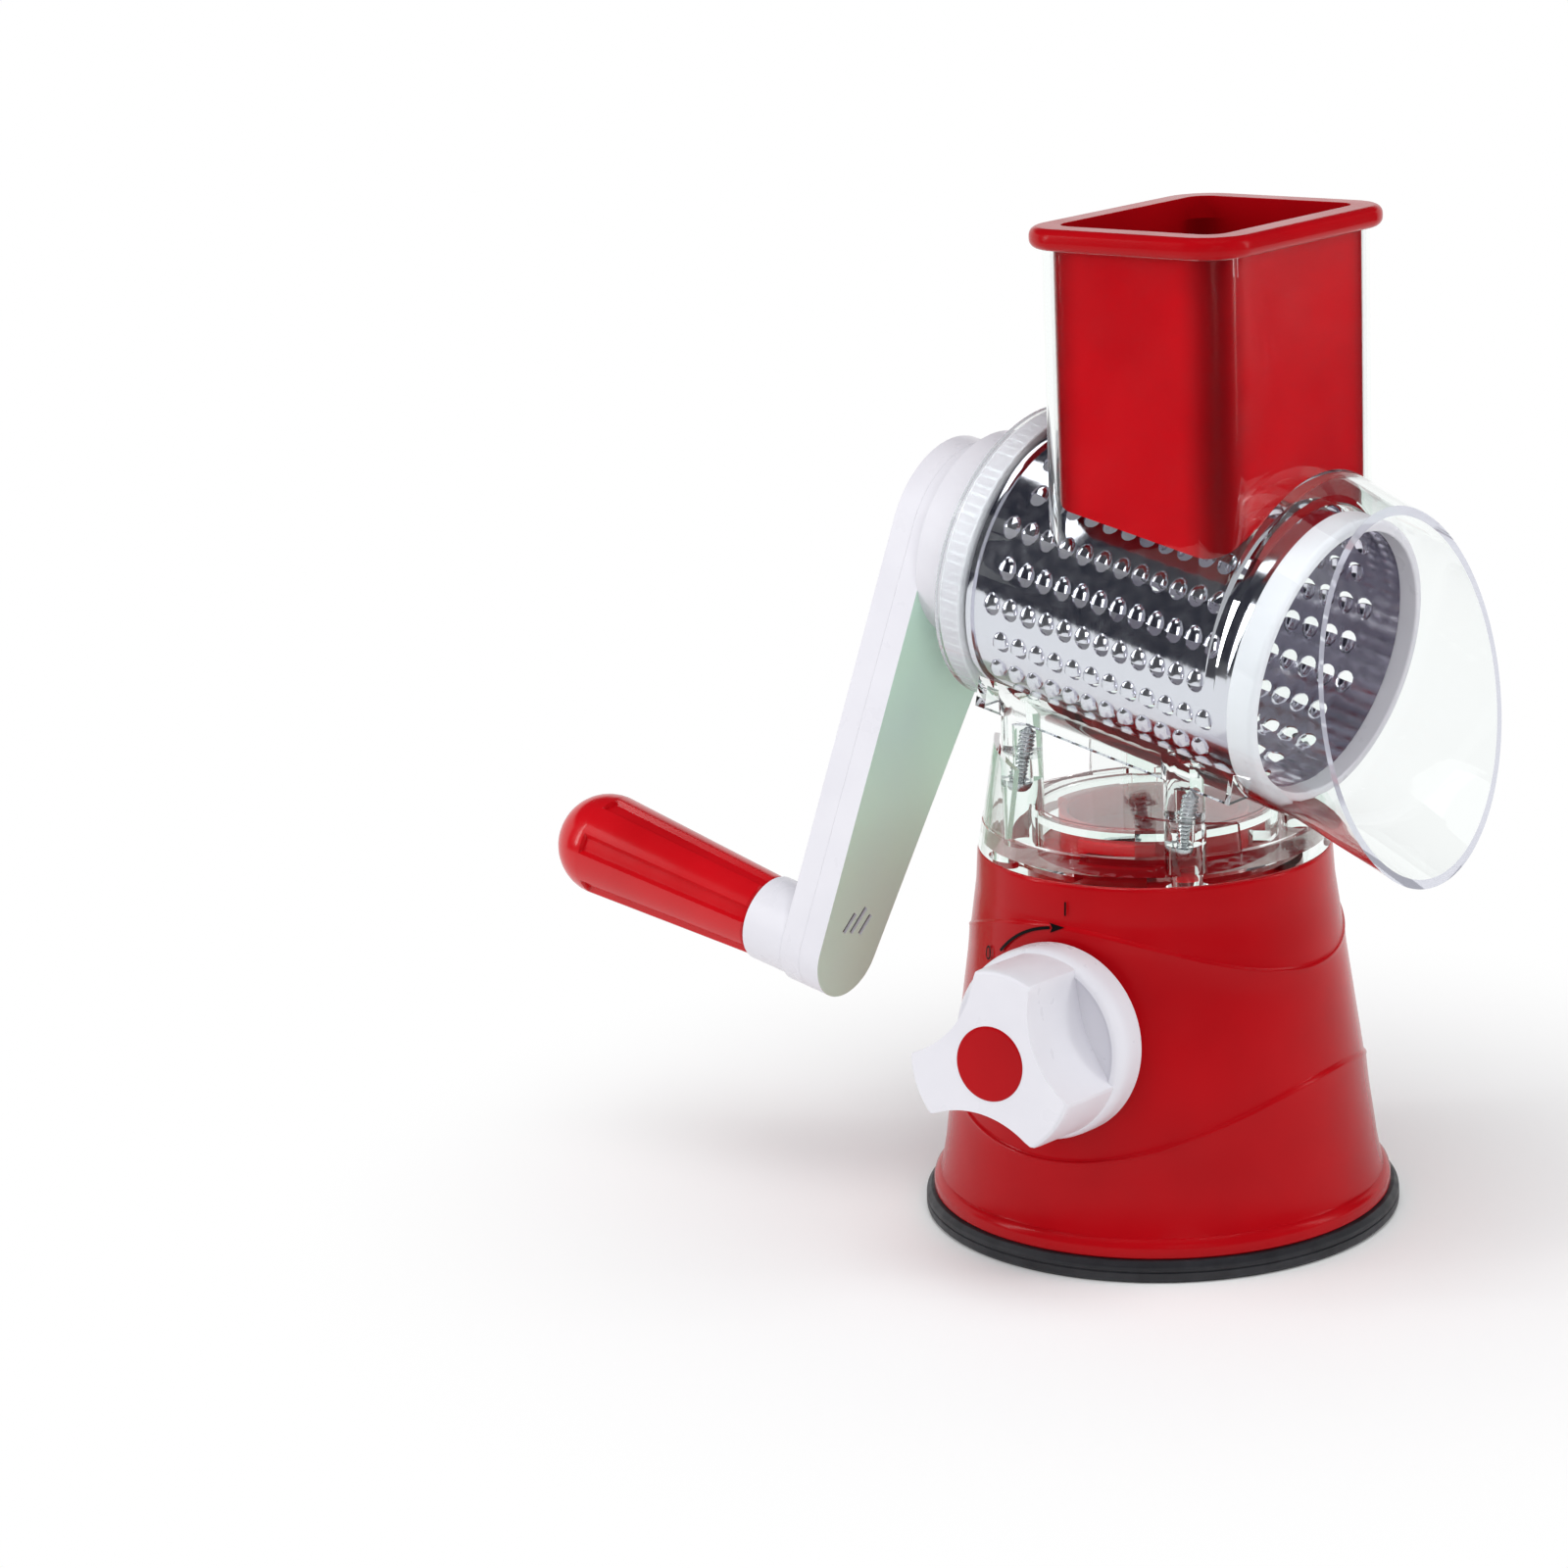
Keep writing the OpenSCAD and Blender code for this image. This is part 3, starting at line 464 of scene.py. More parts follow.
def base_skin():
    """Shell of the base: a flared foot with a rounded bead, a cone with two waved tiers and a deck."""
    wall, deck = 2.4, 2.6
    # how far in from the flare's rim, and how far up from the rubber foot
    bead = [(wall, 0), (0.5, 0), (0, 0.5), (0, 2.6), (0.35, 3.8), (1.1, 4.7), (1.75, 5.0),
            (2.0, 5.6), (2.7, 8.4)]
    foot = [(flare_r - inset, foot_h + up) for inset, up in bead] + [(cone_r + 0.35, cone_z - 3)]
    skin = [(cone_radius(z), z) for z, _ in skin_rows]
    top = [(base_top_r + 0.05, base_top - 1), (base_top_r - 0.3, base_top - 0.25),
           (base_top_r - 1, base_top), (0, base_top)]
    inside = [(0, base_top - deck), (base_top_r - wall, base_top - deck),
              (brow_r - wall, brow_z), (cone_r - wall, cone_z)]
    bm = lathe(foot + skin + top + inside, steps=192, closed=True)
    proud = {round(z, 2): (z, d) for z, d in skin_rows}
    # the skin steps back behind the knob's disc
    seat_gap, seat_margin = 0.5, 0.6
    to_knob = KNOB.inverted() @ ROW
    out_of_cone = to_knob.inverted().to_3x3() @ Vector((0, 0, 1))
    for v in bm.verts:
        r = math.hypot(v.co.x, v.co.y)
        key = round(v.co.z, 2)
        if key in proud and abs(r - cone_radius(v.co.z)) < 0.01:
            nominal, out = proud[key]
            angle = math.atan2(v.co.y, v.co.x)
            v.co.z = waved(nominal, angle)
            r = cone_radius(v.co.z) + out
            v.co.x, v.co.y = r * math.cos(angle), r * math.sin(angle)
        behind = to_knob @ v.co
        if math.hypot(behind.x, behind.y) < knob_r + seat_margin and behind.z > knob_back - seat_gap:
            v.co -= out_of_cone * (behind.z - knob_back + seat_gap)
    return bm


def twist_lock():
    """Ring with three lugs on top of the base, which the stand's hooks turn under."""
    ring_r, ring_wall, ring_h = 24.5, 2.4, 7.5
    lug_r, lug_z, lug_t, lug_span = 28.6, 3.6, 3.0, 42
    lug_middles = (75, 195, 315)
    z = base_top
    parts = [lathe(fillet([(ring_r - ring_wall, z - 0.5), (ring_r, z - 0.5), (ring_r, z + ring_h, 0.6),
                           (ring_r - ring_wall, z + ring_h, 0.6)]), closed=True)]
    low, high = z + lug_z, z + lug_z + lug_t
    lug = [(ring_r - 1, low), (lug_r, low), (lug_r, high - 0.5), (lug_r - 0.5, high), (ring_r - 1, high)]
    parts += [sector(lug, middle, lug_span) for middle in lug_middles]
    return join(*parts)


knob_low, knob_high = size_in(KNOB, "knob")
knob_back, knob_face, knob_r = knob_low.z, knob_high.z, knob_high.y


def knob_seat():
    """Flat round pad on the cone, which the knob turns before, and the shaft's guide tube."""
    seat_r, tube_r, bore_r, gap = 20, 9.5, 6.06, 0.4
    tube_from, seat_from = 30, 42
    face = knob_back - gap
    section = fillet([(bore_r, tube_from), (tube_r, tube_from), (tube_r, seat_from),
                      (seat_r, seat_from), (seat_r, face, 0.8), (bore_r, face)])
    return moved(lathe(section, closed=True, steps=72), ROW.inverted() @ KNOB)


def build_base():
    """The base shell, its rubber foot, and what they hold."""
    piece(join(base_skin(), twist_lock(), knob_seat()), "base_shell_moulding", ROW, [red_abs],
          "base", ["base_shell"])
    # the foot: a disc with a raised rim under the shell, and a groove round it
    inner_r, floor_t = 57, 3
    section = fillet([(0, 0), (foot_r - 0.9, 0, 0.5), (foot_r, 0.9, 0.6), (foot_r, 2.7, 0.2),
                      (foot_r - 0.35, 2.9), (foot_r - 0.35, 3.2), (foot_r, 3.4, 0.2),
                      (foot_r - 0.15, foot_h - 1.2, 0.8), (foot_r - 1.3, foot_h, 0.4),
                      (inner_r, foot_h), (inner_r, floor_t), (0, floor_t)], 4)
    piece(lathe(section, steps=192), "suction_pad_rubber", ROW, [rubber], "base",
          ["suction_pad"])
    dress("base_plate", black_abs)
    dress("base_plate_screws", zinc)
    dress("plunger", grey_nylon)


# ---- printed marks over the knob ----

def on_cone(p, proud=0.06):
    """Where a flat point lands on the base's cone, just proud of it, moved along the knob's axis."""
    step = (KNOB.to_3x3() @ Vector((0, 0, 1))).normalized()
    q = (KNOB @ Vector((p[0], p[1], knob_back))) / MM
    for _ in range(12):
        off = math.hypot(q.x, q.y) - cone_radius(q.z) - ledge - proud
        q = q - step * off
    return q


def round_knob(angle, r):
    """A flat point round the knob: the angle runs from its side up to its top, which is at 90."""
    a = math.radians(angle)
    return Vector((-r * math.sin(a), -r * math.cos(a), 0))


def arrow_print():
    """A line round the knob with an arrow head at its end."""
    arrow_r, line_w, start, end, count = 27.6, 0.8, 42, 82, 40
    bm = bmesh.new()
    pairs = []
    for i in range(count + 1):
        angle = start + (end - start) * i / count
        pairs.append([bm.verts.new(round_knob(angle, arrow_r + side * line_w / 2)) for side in (-1, 1)])
    for (a, b), (c, d) in zip(pairs, pairs[1:]):
        bm.faces.new((a, b, d, c))
    # the head, along the line and across it
    head = [(0, -1.3), (4.4, 0), (0, 1.3), (0.7, 0)]
    along, out = round_knob(end + 90, 1), round_knob(end, 1)
    bm.faces.new([bm.verts.new(round_knob(end, arrow_r) + along * h + out * w) for h, w in head])
    return bm


def numeral_print(text, angle, r):
    """A numeral that stands upright beside the knob."""
    curve = bpy.data.curves.new("mark", "FONT")
    curve.body = text
    curve.size = 5.2
    curve.align_x = "CENTER"
    curve.align_y = "CENTER"
    holder = bpy.data.objects.new("mark", curve)
    bm = bmesh.new()
    bm.from_mesh(holder.to_mesh())
    bmesh.ops.remove_doubles(bm, verts=bm.verts, dist=0.001)
    bpy.data.objects.remove(holder)
    return moved(bm, Matrix.Translation(round_knob(angle, r)) @ turned(90, "Z"))


def build_marks():
    """A curved arrow between the numerals 0 and 1, printed flat on the cone."""
    marks = join(arrow_print(), numeral_print("1", 91, 32.5), numeral_print("0", 33, 30.5))
    bmesh.ops.triangulate(marks, faces=marks.faces)
    bmesh.ops.subdivide_edges(marks, edges=[e for e in marks.edges if e.calc_length() > 3], cuts=1)
    for v in marks.verts:
        v.co = on_cone(v.co)
    bmesh.ops.recalc_face_normals(marks, faces=marks.faces)
    outward = KNOB.to_3x3() @ Vector((0, 0, 1))
    bmesh.ops.reverse_faces(marks, faces=[f for f in marks.faces if f.normal.dot(outward) < 0])
    piece(marks, "lock_arrow_print", ROW, [ink], "base")


# ---- suction knob ----

scoop_r, scoop_d = 26.0, 39.2     # hollows between the lobes: radius, distance from the axis
scoop_angles = (112, 232, 352)
shoulder_z = knob_back + 10.5     # where the disc's round shoulder meets the lobes
lobe_r, lobe_draft = 23.4, 0.15   # reach of the lobes at the disc, and how far it draws in to the face
outline_steps = 240


def wall_distance(off):
    """Distance of a hollow's wall from the knob's axis, at an angle from the hollow's middle."""
    a = math.radians(off)
    reach = scoop_r ** 2 - (scoop_d * math.sin(a)) ** 2
    if reach <= 0:
        return 1000
    return scoop_d * math.cos(a) - math.sqrt(reach)


def off_hollow(angle):
    """Degrees between a direction and the nearest hollow's middle."""
    return min(abs((angle - m + 180) % 360 - 180) for m in scoop_angles)


def knob_outline(reach, z, corner=1.5):
    """The lobed outline: three concave walls, and between them lobes that end on a round reach."""
    points = []
    for k in range(outline_steps):
        angle = 360 * k / outline_steps
        wall = wall_distance(off_hollow(angle))
        # the smaller of wall and reach, with the corner between them rounded
        near = max(corner - abs(reach - wall), 0)
        r = min(reach, wall) - near * near / (4 * corner)
        a = math.radians(angle)
        points.append(Vector((r * math.cos(a), r * math.sin(a), z)))
    return points


def knob_grip():
    """The lobed grip: nearly straight walls, the edge of its face rounded."""
    low = knob_back + 6           # inside the disc
    top, face_r = knob_face, lobe_r - lobe_draft
    rings = [knob_outline(lobe_r, low), knob_outline(lobe_r, shoulder_z), knob_outline(face_r, top - 3)]
    for inset, down in ((0.15, 0.9), (0.3, 0.45), (0.65, 0.12), (1.1, 0)):
        rings.append(knob_outline(face_r - inset, top - down))
    rings.append([Vector((p.x * 0.6, p.y * 0.6, top)) for p in knob_outline(lobe_r - 2, top)])
    return loft(rings)


def knob_disc():
    """Disc with a rounded shoulder, dished before each wall to let the fingers in."""
    z = knob_back
    dish_r, dish_w, dish_deep, steps = 21.6, 9, 2.6, 6
    floor_z = shoulder_z - 3.4
    # how far in from the disc's edge, and how far up from its back
    edge = [(0.7, 0), (0.2, 0.2), (0, 0.7), (0, 5.5), (0.1, 7.2), (0.45, 8.8), (1.1, 10), (1.9, 10.5)]
    rows = [(0, z)] + [(knob_r - inset, z + up) for inset, up in edge]
    rows += [(dish_r + 0.25, z + 10.55), (dish_r - 0.1, z + 10.35), (dish_r - 0.5, z + 9.7)]
    rows += [(dish_r - 0.5 - dish_w * k / steps, floor_z + dish_deep * (1 - k / steps) ** 2)
             for k in range(1, steps + 1)]
    return lathe(rows + [(0, floor_z - 0.01)], steps=outline_steps)


def build_knob():
    """The knob in one moulding, the disc that covers its screw, and its shaft."""
    cap_r = 9.6
    piece(join(knob_disc(), knob_grip()), "knob_moulding", KNOB, [white_abs], "knob",
          ["knob", "knob_screw"], crease=32)
    z = knob_face
    cap = lathe([(0, z - 0.9), (cap_r - 0.2, z - 0.9), (cap_r - 0.1, z - 0.1),
                 (cap_r - 0.4, z + 0.22), (cap_r - 1.2, z + 0.3), (0, z + 0.3)])
    piece(cap, "knob_cap_disc", KNOB, [red_abs], "knob", ["knob_cap"])
    dress("cam_shaft", grey_nylon)


# ---- stand, housing and what they hold ----

def screw(head_r, head_h, shank_r, length, pitch=1.1):
    """A pan-head screw pointing up z, its head below z = 0, with a rolled thread."""
    root_r = shank_r * 0.8
    rows = [(0, -head_h), (head_r * 0.72, -head_h), (head_r * 0.93, -head_h * 0.62),
            (head_r, -head_h * 0.3), (head_r, 0), (root_r, 0)]
    z = 0.6
    while z < length - 1.6:
        rows += [(root_r, z), (shank_r, z + pitch * 0.3), (shank_r, z + pitch * 0.42),
                 (root_r, z + pitch * 0.72)]
        z += pitch
    rows += [(root_r, length - 1.5), (shank_r * 0.3, length - 0.2), (0, length)]
    return lathe(rows, steps=24)


def stand_screws():
    """Screws of the four posts, each along the drum frame's z at the place of its CAD screw."""
    head_h, head_r, shank_r, apart = 2.4, 3.4, 1.8, 5
    low, high = size_in(DRUM, "stand_screws")
    back = DRUM.inverted()
    points = [back @ v.co for v in frame["nodes"]["stand_screws"].data.vertices]
    ends = [p.xy for p in points if p.z > high.z - 0.01]
    spots = []
    for end in ends:
        if not any((spot - end).length < apart for spot in spots):
            group = [other for other in ends if (other - end).length < apart]
            spots.append(sum(group, Vector((0, 0))) / len(group))
    return join(*[moved(screw(head_r, head_h, shank_r, high.z - low.z - head_h),
                        Matrix.Translation((*spot, low.z + head_h))) for spot in spots])


def build_body():
    """The clear stand and housing, their screws, and the bearing that the crank turns in."""
    mouth_lean = math.radians(8.8)      # the mouth's plane leans back by this
    rim_deep = 0.35
    piece(softened("stand", 0.35), "stand_moulding", Matrix(), [clear_ps], "grater_body",
          ["stand"])
    # the housing's faces at the mouth's rim get the painted light of an edge
    housing = softened("housing", 0.45)
    mouth_out = Vector((0, -math.cos(mouth_lean), math.sin(mouth_lean)))
    furthest = max(v.co.dot(mouth_out) for v in housing.verts)
    for face in housing.faces:
        if furthest - face.calc_center_median().dot(mouth_out) < rim_deep * MM:
            face.material_index = 1
    piece(housing, "housing_moulding", Matrix(), [clear_ps, painted_rim_ps], "grater_body",
          ["housing"])
    piece(stand_screws(), "stand_screws_threaded", DRUM, [zinc], "grater_body",
          ["stand_screws"])
    piece(softened("rear_bearing", 0.5), "rear_bearing_ring", Matrix(), [white_abs_painted_shade], "grater_body",
          ["rear_bearing"])


def build_pusher():
    """The hollow pusher: a thick rounded flange over thinner walls."""
    low, high = size_in(ROW, "pusher")
    hopper_top = size_in(ROW, "housing")[1].z
    flange_w = 4

    def off_rim(p):
        """True for edges other than those round the outside of the flange."""
        inset = min(p.x - low.x, high.x - p.x, p.y - low.y, high.y - p.y)
        return p.z < hopper_top or inset > flange_w

    # the walls below the flange, in metres
    walls = [v.co for v in frame["nodes"]["pusher"].data.vertices if v.co.z < (hopper_top - 5) * MM]
    box = [[pick(p[i] for p in walls) for i in (0, 1)] for pick in (min, max)]
    # the base's red with painted shade at the corners, standing in for the light that the hopper's round
    # corners turn away
    pusher_abs = moulded_plastic("pusher_abs", "#AE0711", "#9F050E", 0.2, 40, 30, shine=0.14,
                                 box=(*box, hopper_top * MM))
    piece(softened("pusher", 2.3, 6, fine=off_rim, fine_width=1.1), "pusher_moulding", Matrix(),
          [pusher_abs], "pusher", ["pusher"])


# ---- drum ----

drum_low, drum_high = size_in(DRUM, "drum_shell")
drum_r = 35.0                     # outer face of the sheet
steel_t = 0.6
rows, teeth = 22, 12
first_row = -78.8                 # degrees from the top to a row of teeth
row_span = 360 / rows
half_row = math.radians(row_span / 2) * drum_r
tooth_pitch = 5.7
first_tooth = -42.7               # place of a row's first tooth along the drum
hood_long, hood_half, hood_high = 3.7, 2.35, 1.8
slot_long = 2.5                   # the open half round before a hood


def on_drum(u, v, h):
    """A point of the unrolled sheet: u round the drum, v along it, h out from its outer face."""
    a = u / drum_r
    return Vector(((drum_r + h) * math.sin(a), v, (drum_r + h) * math.cos(a)))


def tooth_tile(bm, u0, v0):
    """One tooth: a half-round hood pressed up behind a half-round slot."""
    w, half = half_row, tooth_pitch / 2
    border_uv = [(w, 0), (w, half), (w / 2, half), (0, half), (-w / 2, half), (-w, half), (-w, 0),
                 (-w, -half), (-w / 2, -half), (0, -half), (w / 2, -half), (w, -half)]
    outer_edge = []
    for inner in (False, True):
        drop = -steel_t if inner else 0
        border = [bm.verts.new(on_drum(u0 + u, v0 + v, drop)) for u, v in border_uv]
        ring = []
        for k in range(12):
            a = math.radians(30 * k)
            long = hood_long if math.cos(a) >= 0 else slot_long
            ring.append(bm.verts.new(on_drum(u0 + long * math.cos(a), v0 + hood_half * math.sin(a), drop)))
        for k in range(12):
            j = (k + 1) % 12
            bm.faces.new((border[k], border[j], ring[j], ring[k]))
        # the hood's rows, from the sheet up to its top
        shells = [[ring[k] for k in (9, 10, 11, 0, 1, 2, 3)]]
        for t in (0.88, 0.65, 0.35):
            row = []
            for k in range(-3, 4):
                a = math.radians(30 * k)
                h = hood_high * math.sqrt(1 - t * t)
                row.append(bm.verts.new(on_drum(u0 + hood_long * t * math.cos(a),
                                                v0 + hood_half * t * math.sin(a), drop + h)))
            shells.append(row)
        top = bm.verts.new(on_drum(u0, v0, drop + hood_high))
        for low, high in zip(shells, shells[1:]):
            for k in range(6):
                bm.faces.new((low[k], low[k + 1], high[k + 1], high[k]))
        for k in range(6):
            bm.faces.new((shells[-1][k], shells[-1][k + 1], top))
        # the hole's edge: the hood's arch and the slot's half round, joined through the sheet
        arch = [s[0] for s in shells] + [top] + [s[-1] for s in reversed(shells)]
        edge = arch + [ring[k] for k in (4, 5, 6, 7, 8)]
        if inner:
            for k in range(len(edge)):
                j = (k + 1) % len(edge)
                bm.faces.new((outer_edge[k], outer_edge[j], edge[j], edge[k]))
        outer_edge = edge


def plain_tile(bm, u0, v0, v1):
    """Plain sheet beside the teeth, with corners where a tooth tile has them."""
    for drop in (0, -steel_t):
        low, high = [[bm.verts.new(on_drum(u0 + half_row * k / 2, v, drop)) for k in range(-2, 3)]
                     for v in (v0, v1)]
        for k in range(4):
            bm.faces.new((low[k], low[k + 1], high[k + 1], high[k]))


def build_drum():
    """The grating drum: a toothed sheet with a rolled hem, its front ring and its hub."""
    bm = bmesh.new()
    half = tooth_pitch / 2
    front, rear = drum_low.y, drum_high.y - 2     # the plain sheet's ends, before the hem
    band_front = first_tooth - half
    band_rear = first_tooth + (teeth - 1) * tooth_pitch + 2 * half
    for row in range(rows):
        u0 = math.radians(first_row + row_span * row) * drum_r
        shift = half * (row % 2)
        for tooth in range(teeth):
            tooth_tile(bm, u0, first_tooth + tooth * tooth_pitch + shift)
        if row % 2:
            plain_tile(bm, u0, band_front, band_front + half)
        else:
            plain_tile(bm, u0, band_rear - half, band_rear)
        plain_tile(bm, u0, front, band_front)
        plain_tile(bm, u0, band_rear, rear)
    # rolled hem at the rear, which closes the sheet round its rim: height over the sheet, place
    steps = 4 * rows
    hem_out, hem_w = drum_high.z - drum_r, drum_high.y - rear
    hem = [(0, rear), (hem_out * 0.7, rear + 0.1), (hem_out, rear + hem_w * 0.4),
           (hem_out, rear + hem_w * 0.7), (hem_out * 0.5, rear + hem_w),
           (-steel_t * 0.6, rear + hem_w), (-steel_t, rear + hem_w * 0.7), (-steel_t, rear)]
    front_rim = [(-steel_t, front), (0, front)]
    for section in (hem, front_rim):
        start = math.radians(first_row)
        rings = [[bm.verts.new(on_drum((start + TURN * k / steps) * drum_r, s, h)) for k in range(steps)]
                 for h, s in section]
        for low, high in zip(rings, rings[1:]):
            for k in range(steps):
                j = (k + 1) % steps
                bm.faces.new((low[k], low[j], high[j], high[k]))
    bmesh.ops.remove_doubles(bm, verts=bm.verts, dist=0.004)
    bmesh.ops.recalc_face_normals(bm, faces=bm.faces)
    piece(bm, "drum_grating_sheet", DRUM, [steel], "drum", ["drum_shell"], crease=40)
    piece(softened("drum_ring", 0.9, 3), "drum_front_ring", Matrix(), [white_abs_painted_shade], "drum",
          ["drum_ring"])
    dress("drum_hub", white_abs)


# ---- crank and grip ----

def build_crank():
    """The crank's two halves, which meet in a fine seam, and what they hold."""
    seam = size_in(DRUM, "crank_cover")[0].y
    to_drum = DRUM.inverted() @ ROW
    to_crank = CRANK.inverted()

    def at_seam(p):
        """True for edges of the two halves where they meet."""
        return abs((to_drum @ p).y - seam) < 0.2

    arm = softened("crank_arm", 1.2, 4, fine=at_seam, fine_width=0.35)
    # the tip is the last 30 mm; the front face lies well before the seam
    tip_z, slot_deep, step_deep = 30 - crank_len, 0.4, 4
    corners = [to_crank @ v.co for v in arm.verts]
    face = min(p.y for p in corners if p.z < tip_z)
    for f in arm.faces:
        middle = to_crank @ f.calc_center_median()
        if (to_drum.to_3x3() @ f.normal).y < -0.9 and middle.y < seam - step_deep:
            # the front face, which gets painted light, and the floors of the three slots in its tip, which
            # get black as painted shade
            in_slot = middle.z < tip_z and middle.y > face + slot_deep
            f.material_index = 2 if in_slot else 1
    piece(arm, "crank_arm_moulding", Matrix(), [white_abs, front_face_painted_light, black_abs], "crank",
          ["crank_arm"])
    piece(softened("crank_cover", 1.2, 4, fine=at_seam, fine_width=0.35), "crank_cover_moulding",
          Matrix(), [white_abs], "crank", ["crank_cover"])
    dress("drive_socket", white_abs)
    dress("crank_screws", zinc)
    dress("grip_spindle", steel)
    dress("grip_washer", zinc)
    dress("grip_screw", zinc)


grip_low, grip_high = size_in(GRIP, "grip", "grip_cap")
dome = 14                         # length of the grip's round end
dome_from = grip_high.y - dome


def grip_radius(s):
    """Radius of the grip at a place along it."""
    near_r, far_r = 11.2, grip_high.x
    if s <= dome_from:
        return near_r + (far_r - near_r) * (s - grip_low.y) / (dome_from - grip_low.y)
    x = (s - dome_from) / dome
    return far_r * math.sqrt(max(0.0, 1 - x * x))


def build_grip():
    """The grip: a tapered handle with shallow flutes and a domed end."""
    flutes, flute_deep, flute_half, steps = 6, 1.3, 12, 180
    flute_step = 0.35             # the flutes end in a short step before the dome
    flute_end = dome_from - 1.5
    near = grip_low.y
    # place along the grip, how far out the surface stands, and share of the flutes' depth
    stations = [(near, -1.2, 0.6), (near + 0.3, -0.5, 0.9), (near + 1, 0, 1)]
    stations += [(near + 1 + (flute_end - near - 1) * k / 12, 0, 1) for k in range(1, 13)]
    plain = flute_end + flute_step
    stations += [(plain + (dome_from - plain) * k / 2, 0, 0) for k in (0, 1, 2)]
    stations += [(grip_high.y - dome * (1 - math.sin(math.radians(a))), 0, 0) for a in range(8, 88, 8)]
    rings = []
    for s, stand, share in stations:
        ring = []
        for k in range(steps):
            angle = 360 * k / steps
            off = abs((angle + 30) % (360 / flutes) - 180 / flutes)
            dip = 0.0
            if off < flute_half:
                dip = flute_deep * share * min(1, 1.7 * (1 - (off / flute_half) ** 2))
            r = grip_radius(s) + stand - dip
            a = math.radians(angle)
            ring.append((r * math.cos(a), s, r * math.sin(a)))
        rings.append(ring)
    piece(loft(rings), "grip_fluted", GRIP, [grip_abs], "grip",
          ["grip", "grip_cap"], crease=30)


# ---- floor, lamps and camera ----

def build_stage():
    """A white table top, which keeps the shadow near the grater. Between the two radii, in metres,
    it turns into plain white paper."""
    half_side, table_r, paper_r = 8, 0.07, 0.24
    floor = bmesh.new()
    bmesh.ops.create_grid(floor, x_segments=1, y_segments=1, size=half_side)
    material, tree = new_material("white_table")
    near = add(tree, "ShaderNodeBsdfPrincipled", {"Base Color": colour("#FAFAFA"), "Roughness": 0.7})
    far = add(tree, "ShaderNodeEmission", {"Color": colour("#FFFFFF"), "Strength": 1.0})
    place = add(tree, "ShaderNodeTexCoord")
    away = add(tree, "ShaderNodeVectorMath", {"operation": "LENGTH"},
               {"Vector": place.outputs["Object"]})
    fade = add(tree, "ShaderNodeMapRange",
               {"interpolation_type": "SMOOTHSTEP", "From Min": table_r, "From Max": paper_r},
               {"Value": away.outputs["Value"]})
    mix = add(tree, "ShaderNodeMixShader", None,
              {"Fac": fade.outputs["Result"], 1: near.outputs["BSDF"], 2: far.outputs["Emission"]})
    link_mesh(floor, "floor", [finished(material, mix.outputs["Shader"])])


def build_tent():
    """Dark cloth walls round the studio, open and white behind the grater. Only mirrored rays meet
    them. Rays straight from the eye or through clear plastic pass, and so does most of what a clear
    wall has turned round inside itself."""
    # radius and height in metres, and the gap's directions and height
    walls = [(0.92, 0), (1.5, 0.3), (1.8, 0.9), (1.5, 1.6), (0.8, 2.0), (0, 2.1)]
    open_from, open_to, open_high = -20, 110, 1
    let_by = 0.6                  # share of the light trapped in a clear wall that passes
    bm = lathe(walls, steps=48)
    gone = []
    for f in bm.faces:
        middle = f.calc_center_median()
        angle = math.degrees(math.atan2(middle.y, middle.x))
        if open_from < angle < open_to and middle.z < open_high:
            gone.append(f)
    bmesh.ops.delete(bm, geom=gone, context="FACES")
    material, tree = new_material("dark_cloth")
    cloth = add(tree, "ShaderNodeEmission", {"Color": colour("#2A2A33"), "Strength": 1.0})
    clear = add(tree, "ShaderNodeBsdfTransparent")
    path = add(tree, "ShaderNodeLightPath")
    mirrored = add(tree, "ShaderNodeMath", {"operation": "GREATER_THAN", 1: 0.5},
                   {0: path.outputs["Glossy Depth"]})
    in_wall = add(tree, "ShaderNodeMath", {"operation": "COMPARE", 1: 1.5, 2: 1.0},
                  {0: path.outputs["Transmission Depth"]})
    again = add(tree, "ShaderNodeMath", {"operation": "GREATER_THAN", 1: 1.5},
                {0: path.outputs["Glossy Depth"]})
    both = add(tree, "ShaderNodeMath", {"operation": "MULTIPLY"},
               {0: in_wall.outputs["Value"], 1: again.outputs["Value"]})
    trapped = add(tree, "ShaderNodeMath", {"operation": "MULTIPLY", 1: let_by},
                  {0: both.outputs["Value"]})
    met = add(tree, "ShaderNodeMath", {"operation": "SUBTRACT", "use_clamp": True},
              {0: mirrored.outputs["Value"], 1: trapped.outputs["Value"]})
    mix = add(tree, "ShaderNodeMixShader", None,
              {"Fac": met.outputs["Value"], 1: clear.outputs["BSDF"], 2: cloth.outputs["Emission"]})
    tent = link_mesh(bm, "dark_tent", [finished(material, mix.outputs["Shader"])])
    tent.visible_camera = False
    tent.visible_diffuse = False
    tent.visible_shadow = False


def lamp(name, place, target, width, height, power, mirrored=True):
    """A soft rectangular lamp that faces a point, in metres and watts. It may be left out of
    reflections."""
    data = bpy.data.lights.new(name, "AREA")
    data.shape = "RECTANGLE"
    data.size, data.size_y = width, height
    data.energy = power
    made = bpy.data.objects.new(name, data)
    made.location = place
    made.rotation_euler = (Vector(target) - Vector(place)).to_track_quat("-Z", "Y").to_euler()
    made.visible_glossy = mirrored
    bpy.context.scene.collection.objects.link(made)


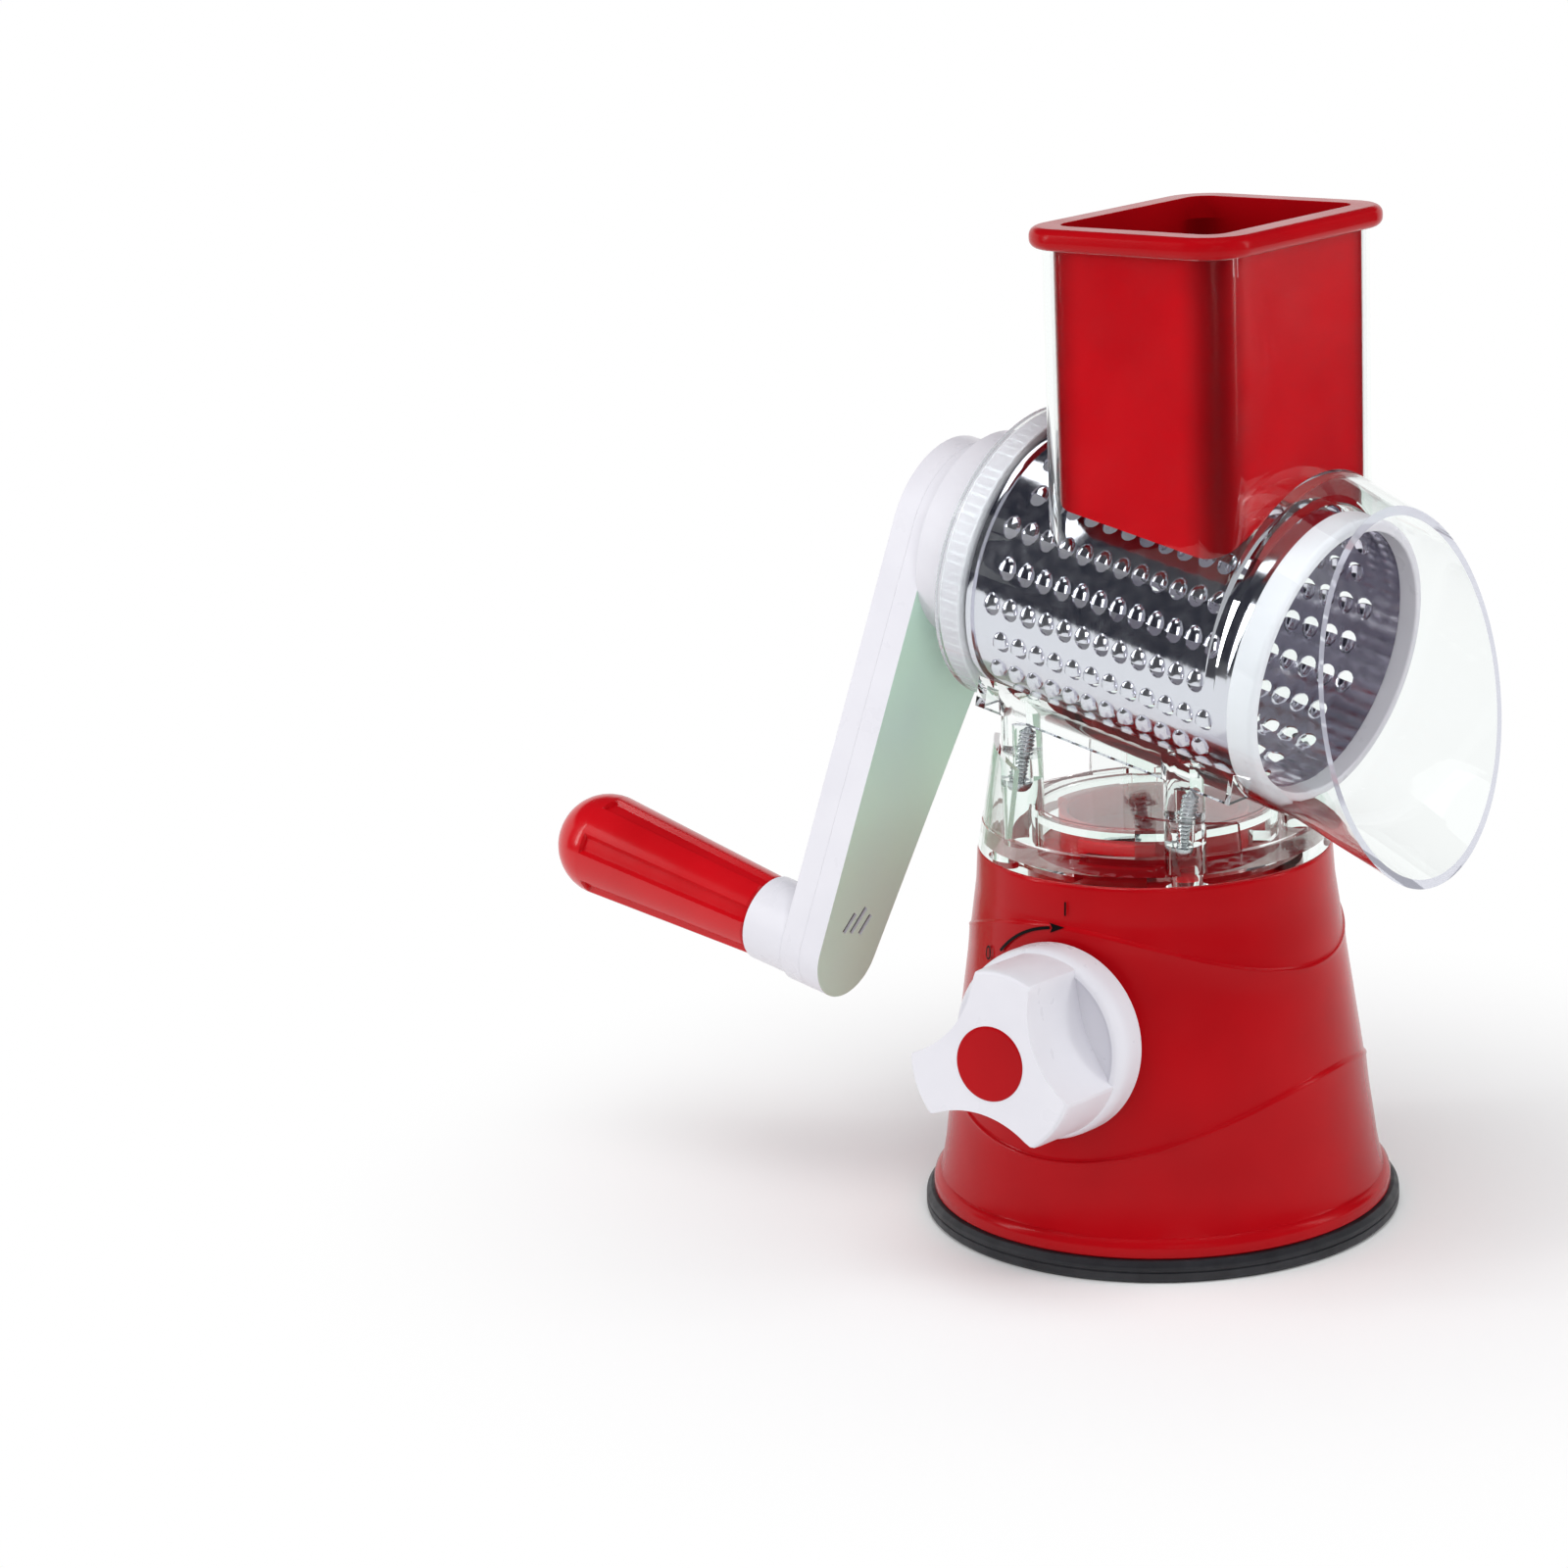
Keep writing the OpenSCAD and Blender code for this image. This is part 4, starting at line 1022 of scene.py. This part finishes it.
def build_light():
    """White all round for the eye and through clear plastic; a dim studio in the steel's mirror."""
    world = bpy.data.worlds.new("studio")
    bpy.context.scene.world = world
    world.use_nodes = True
    tree = world.node_tree
    tree.nodes.clear()
    path = add(tree, "ShaderNodeLightPath")
    white = add(tree, "ShaderNodeBackground", {"Color": colour("#FFFFFF"), "Strength": 1.0})
    fill = add(tree, "ShaderNodeBackground", {"Color": colour("#F6F7FA"), "Strength": 0.4})
    eye = add(tree, "ShaderNodeMath", {"operation": "MAXIMUM"},
              {0: path.outputs["Is Camera Ray"], 1: path.outputs["Is Transmission Ray"]})
    mirror = add(tree, "ShaderNodeMath", {"operation": "MAXIMUM"},
                 {0: eye.outputs["Value"], 1: path.outputs["Is Glossy Ray"]})
    soaked = add(tree, "ShaderNodeMath", {"operation": "GREATER_THAN", 1: 0.5},
                 {0: path.outputs["Diffuse Depth"]})
    seen = add(tree, "ShaderNodeMath", {"operation": "SUBTRACT", "use_clamp": True},
               {0: mirror.outputs["Value"], 1: soaked.outputs["Value"]})
    mix = add(tree, "ShaderNodeMixShader", None,
              {"Fac": seen.outputs["Value"], 1: fill.outputs["Background"],
               2: white.outputs["Background"]})
    add(tree, "ShaderNodeOutputWorld", None, {"Surface": mix.outputs["Shader"]})
    # place, target, width, height and power: soft lamps that light the colours, and two narrow
    # ones that also show in the steel
    mid_height, low_height = (0, 0, 0.12), (0, 0, 0.1)
    lamp("top", (-0.25, -0.2, 1.2), low_height, 0.9, 0.9, 6, mirrored=False)
    lamp("left", (-0.75, 0.75, 0.5), mid_height, 0.5, 0.8, 2.8, mirrored=False)
    lamp("front", (-0.8, -0.85, 0.4), mid_height, 0.4, 0.6, 3.4, mirrored=False)
    lamp("right", (0.5, -0.9, 0.5), mid_height, 0.5, 0.8, 1.45, mirrored=False)
    lamp("left_strip", (-0.6, 0.62, 0.45), mid_height, 0.07, 0.6, 1.3)
    lamp("right_strip", (0.45, -0.75, 0.4), mid_height, 0.07, 0.6, 0.9)


def build_camera():
    """The eye stands before the knob's side, a little above the grater, and looks down at it."""
    place, heading, down, roll = (-0.8468, -0.6052, 0.3918), -49.22, 14.84, -2.57
    data = bpy.data.cameras.new("camera")
    data.lens = 95.83
    data.sensor_width = 36
    made = bpy.data.objects.new("camera", data)
    made.matrix_world = (Matrix.Translation(place) @ turned(heading, "Z")
                         @ turned(90 - down, "X") @ turned(roll, "Z"))
    bpy.context.scene.collection.objects.link(made)
    bpy.context.scene.camera = made


build_base()
build_marks()
build_knob()
build_body()
build_pusher()
build_drum()
build_crank()
build_grip()
build_stage()
build_tent()
build_light()
build_camera()
bpy.context.scene.view_settings.view_transform = "Standard"
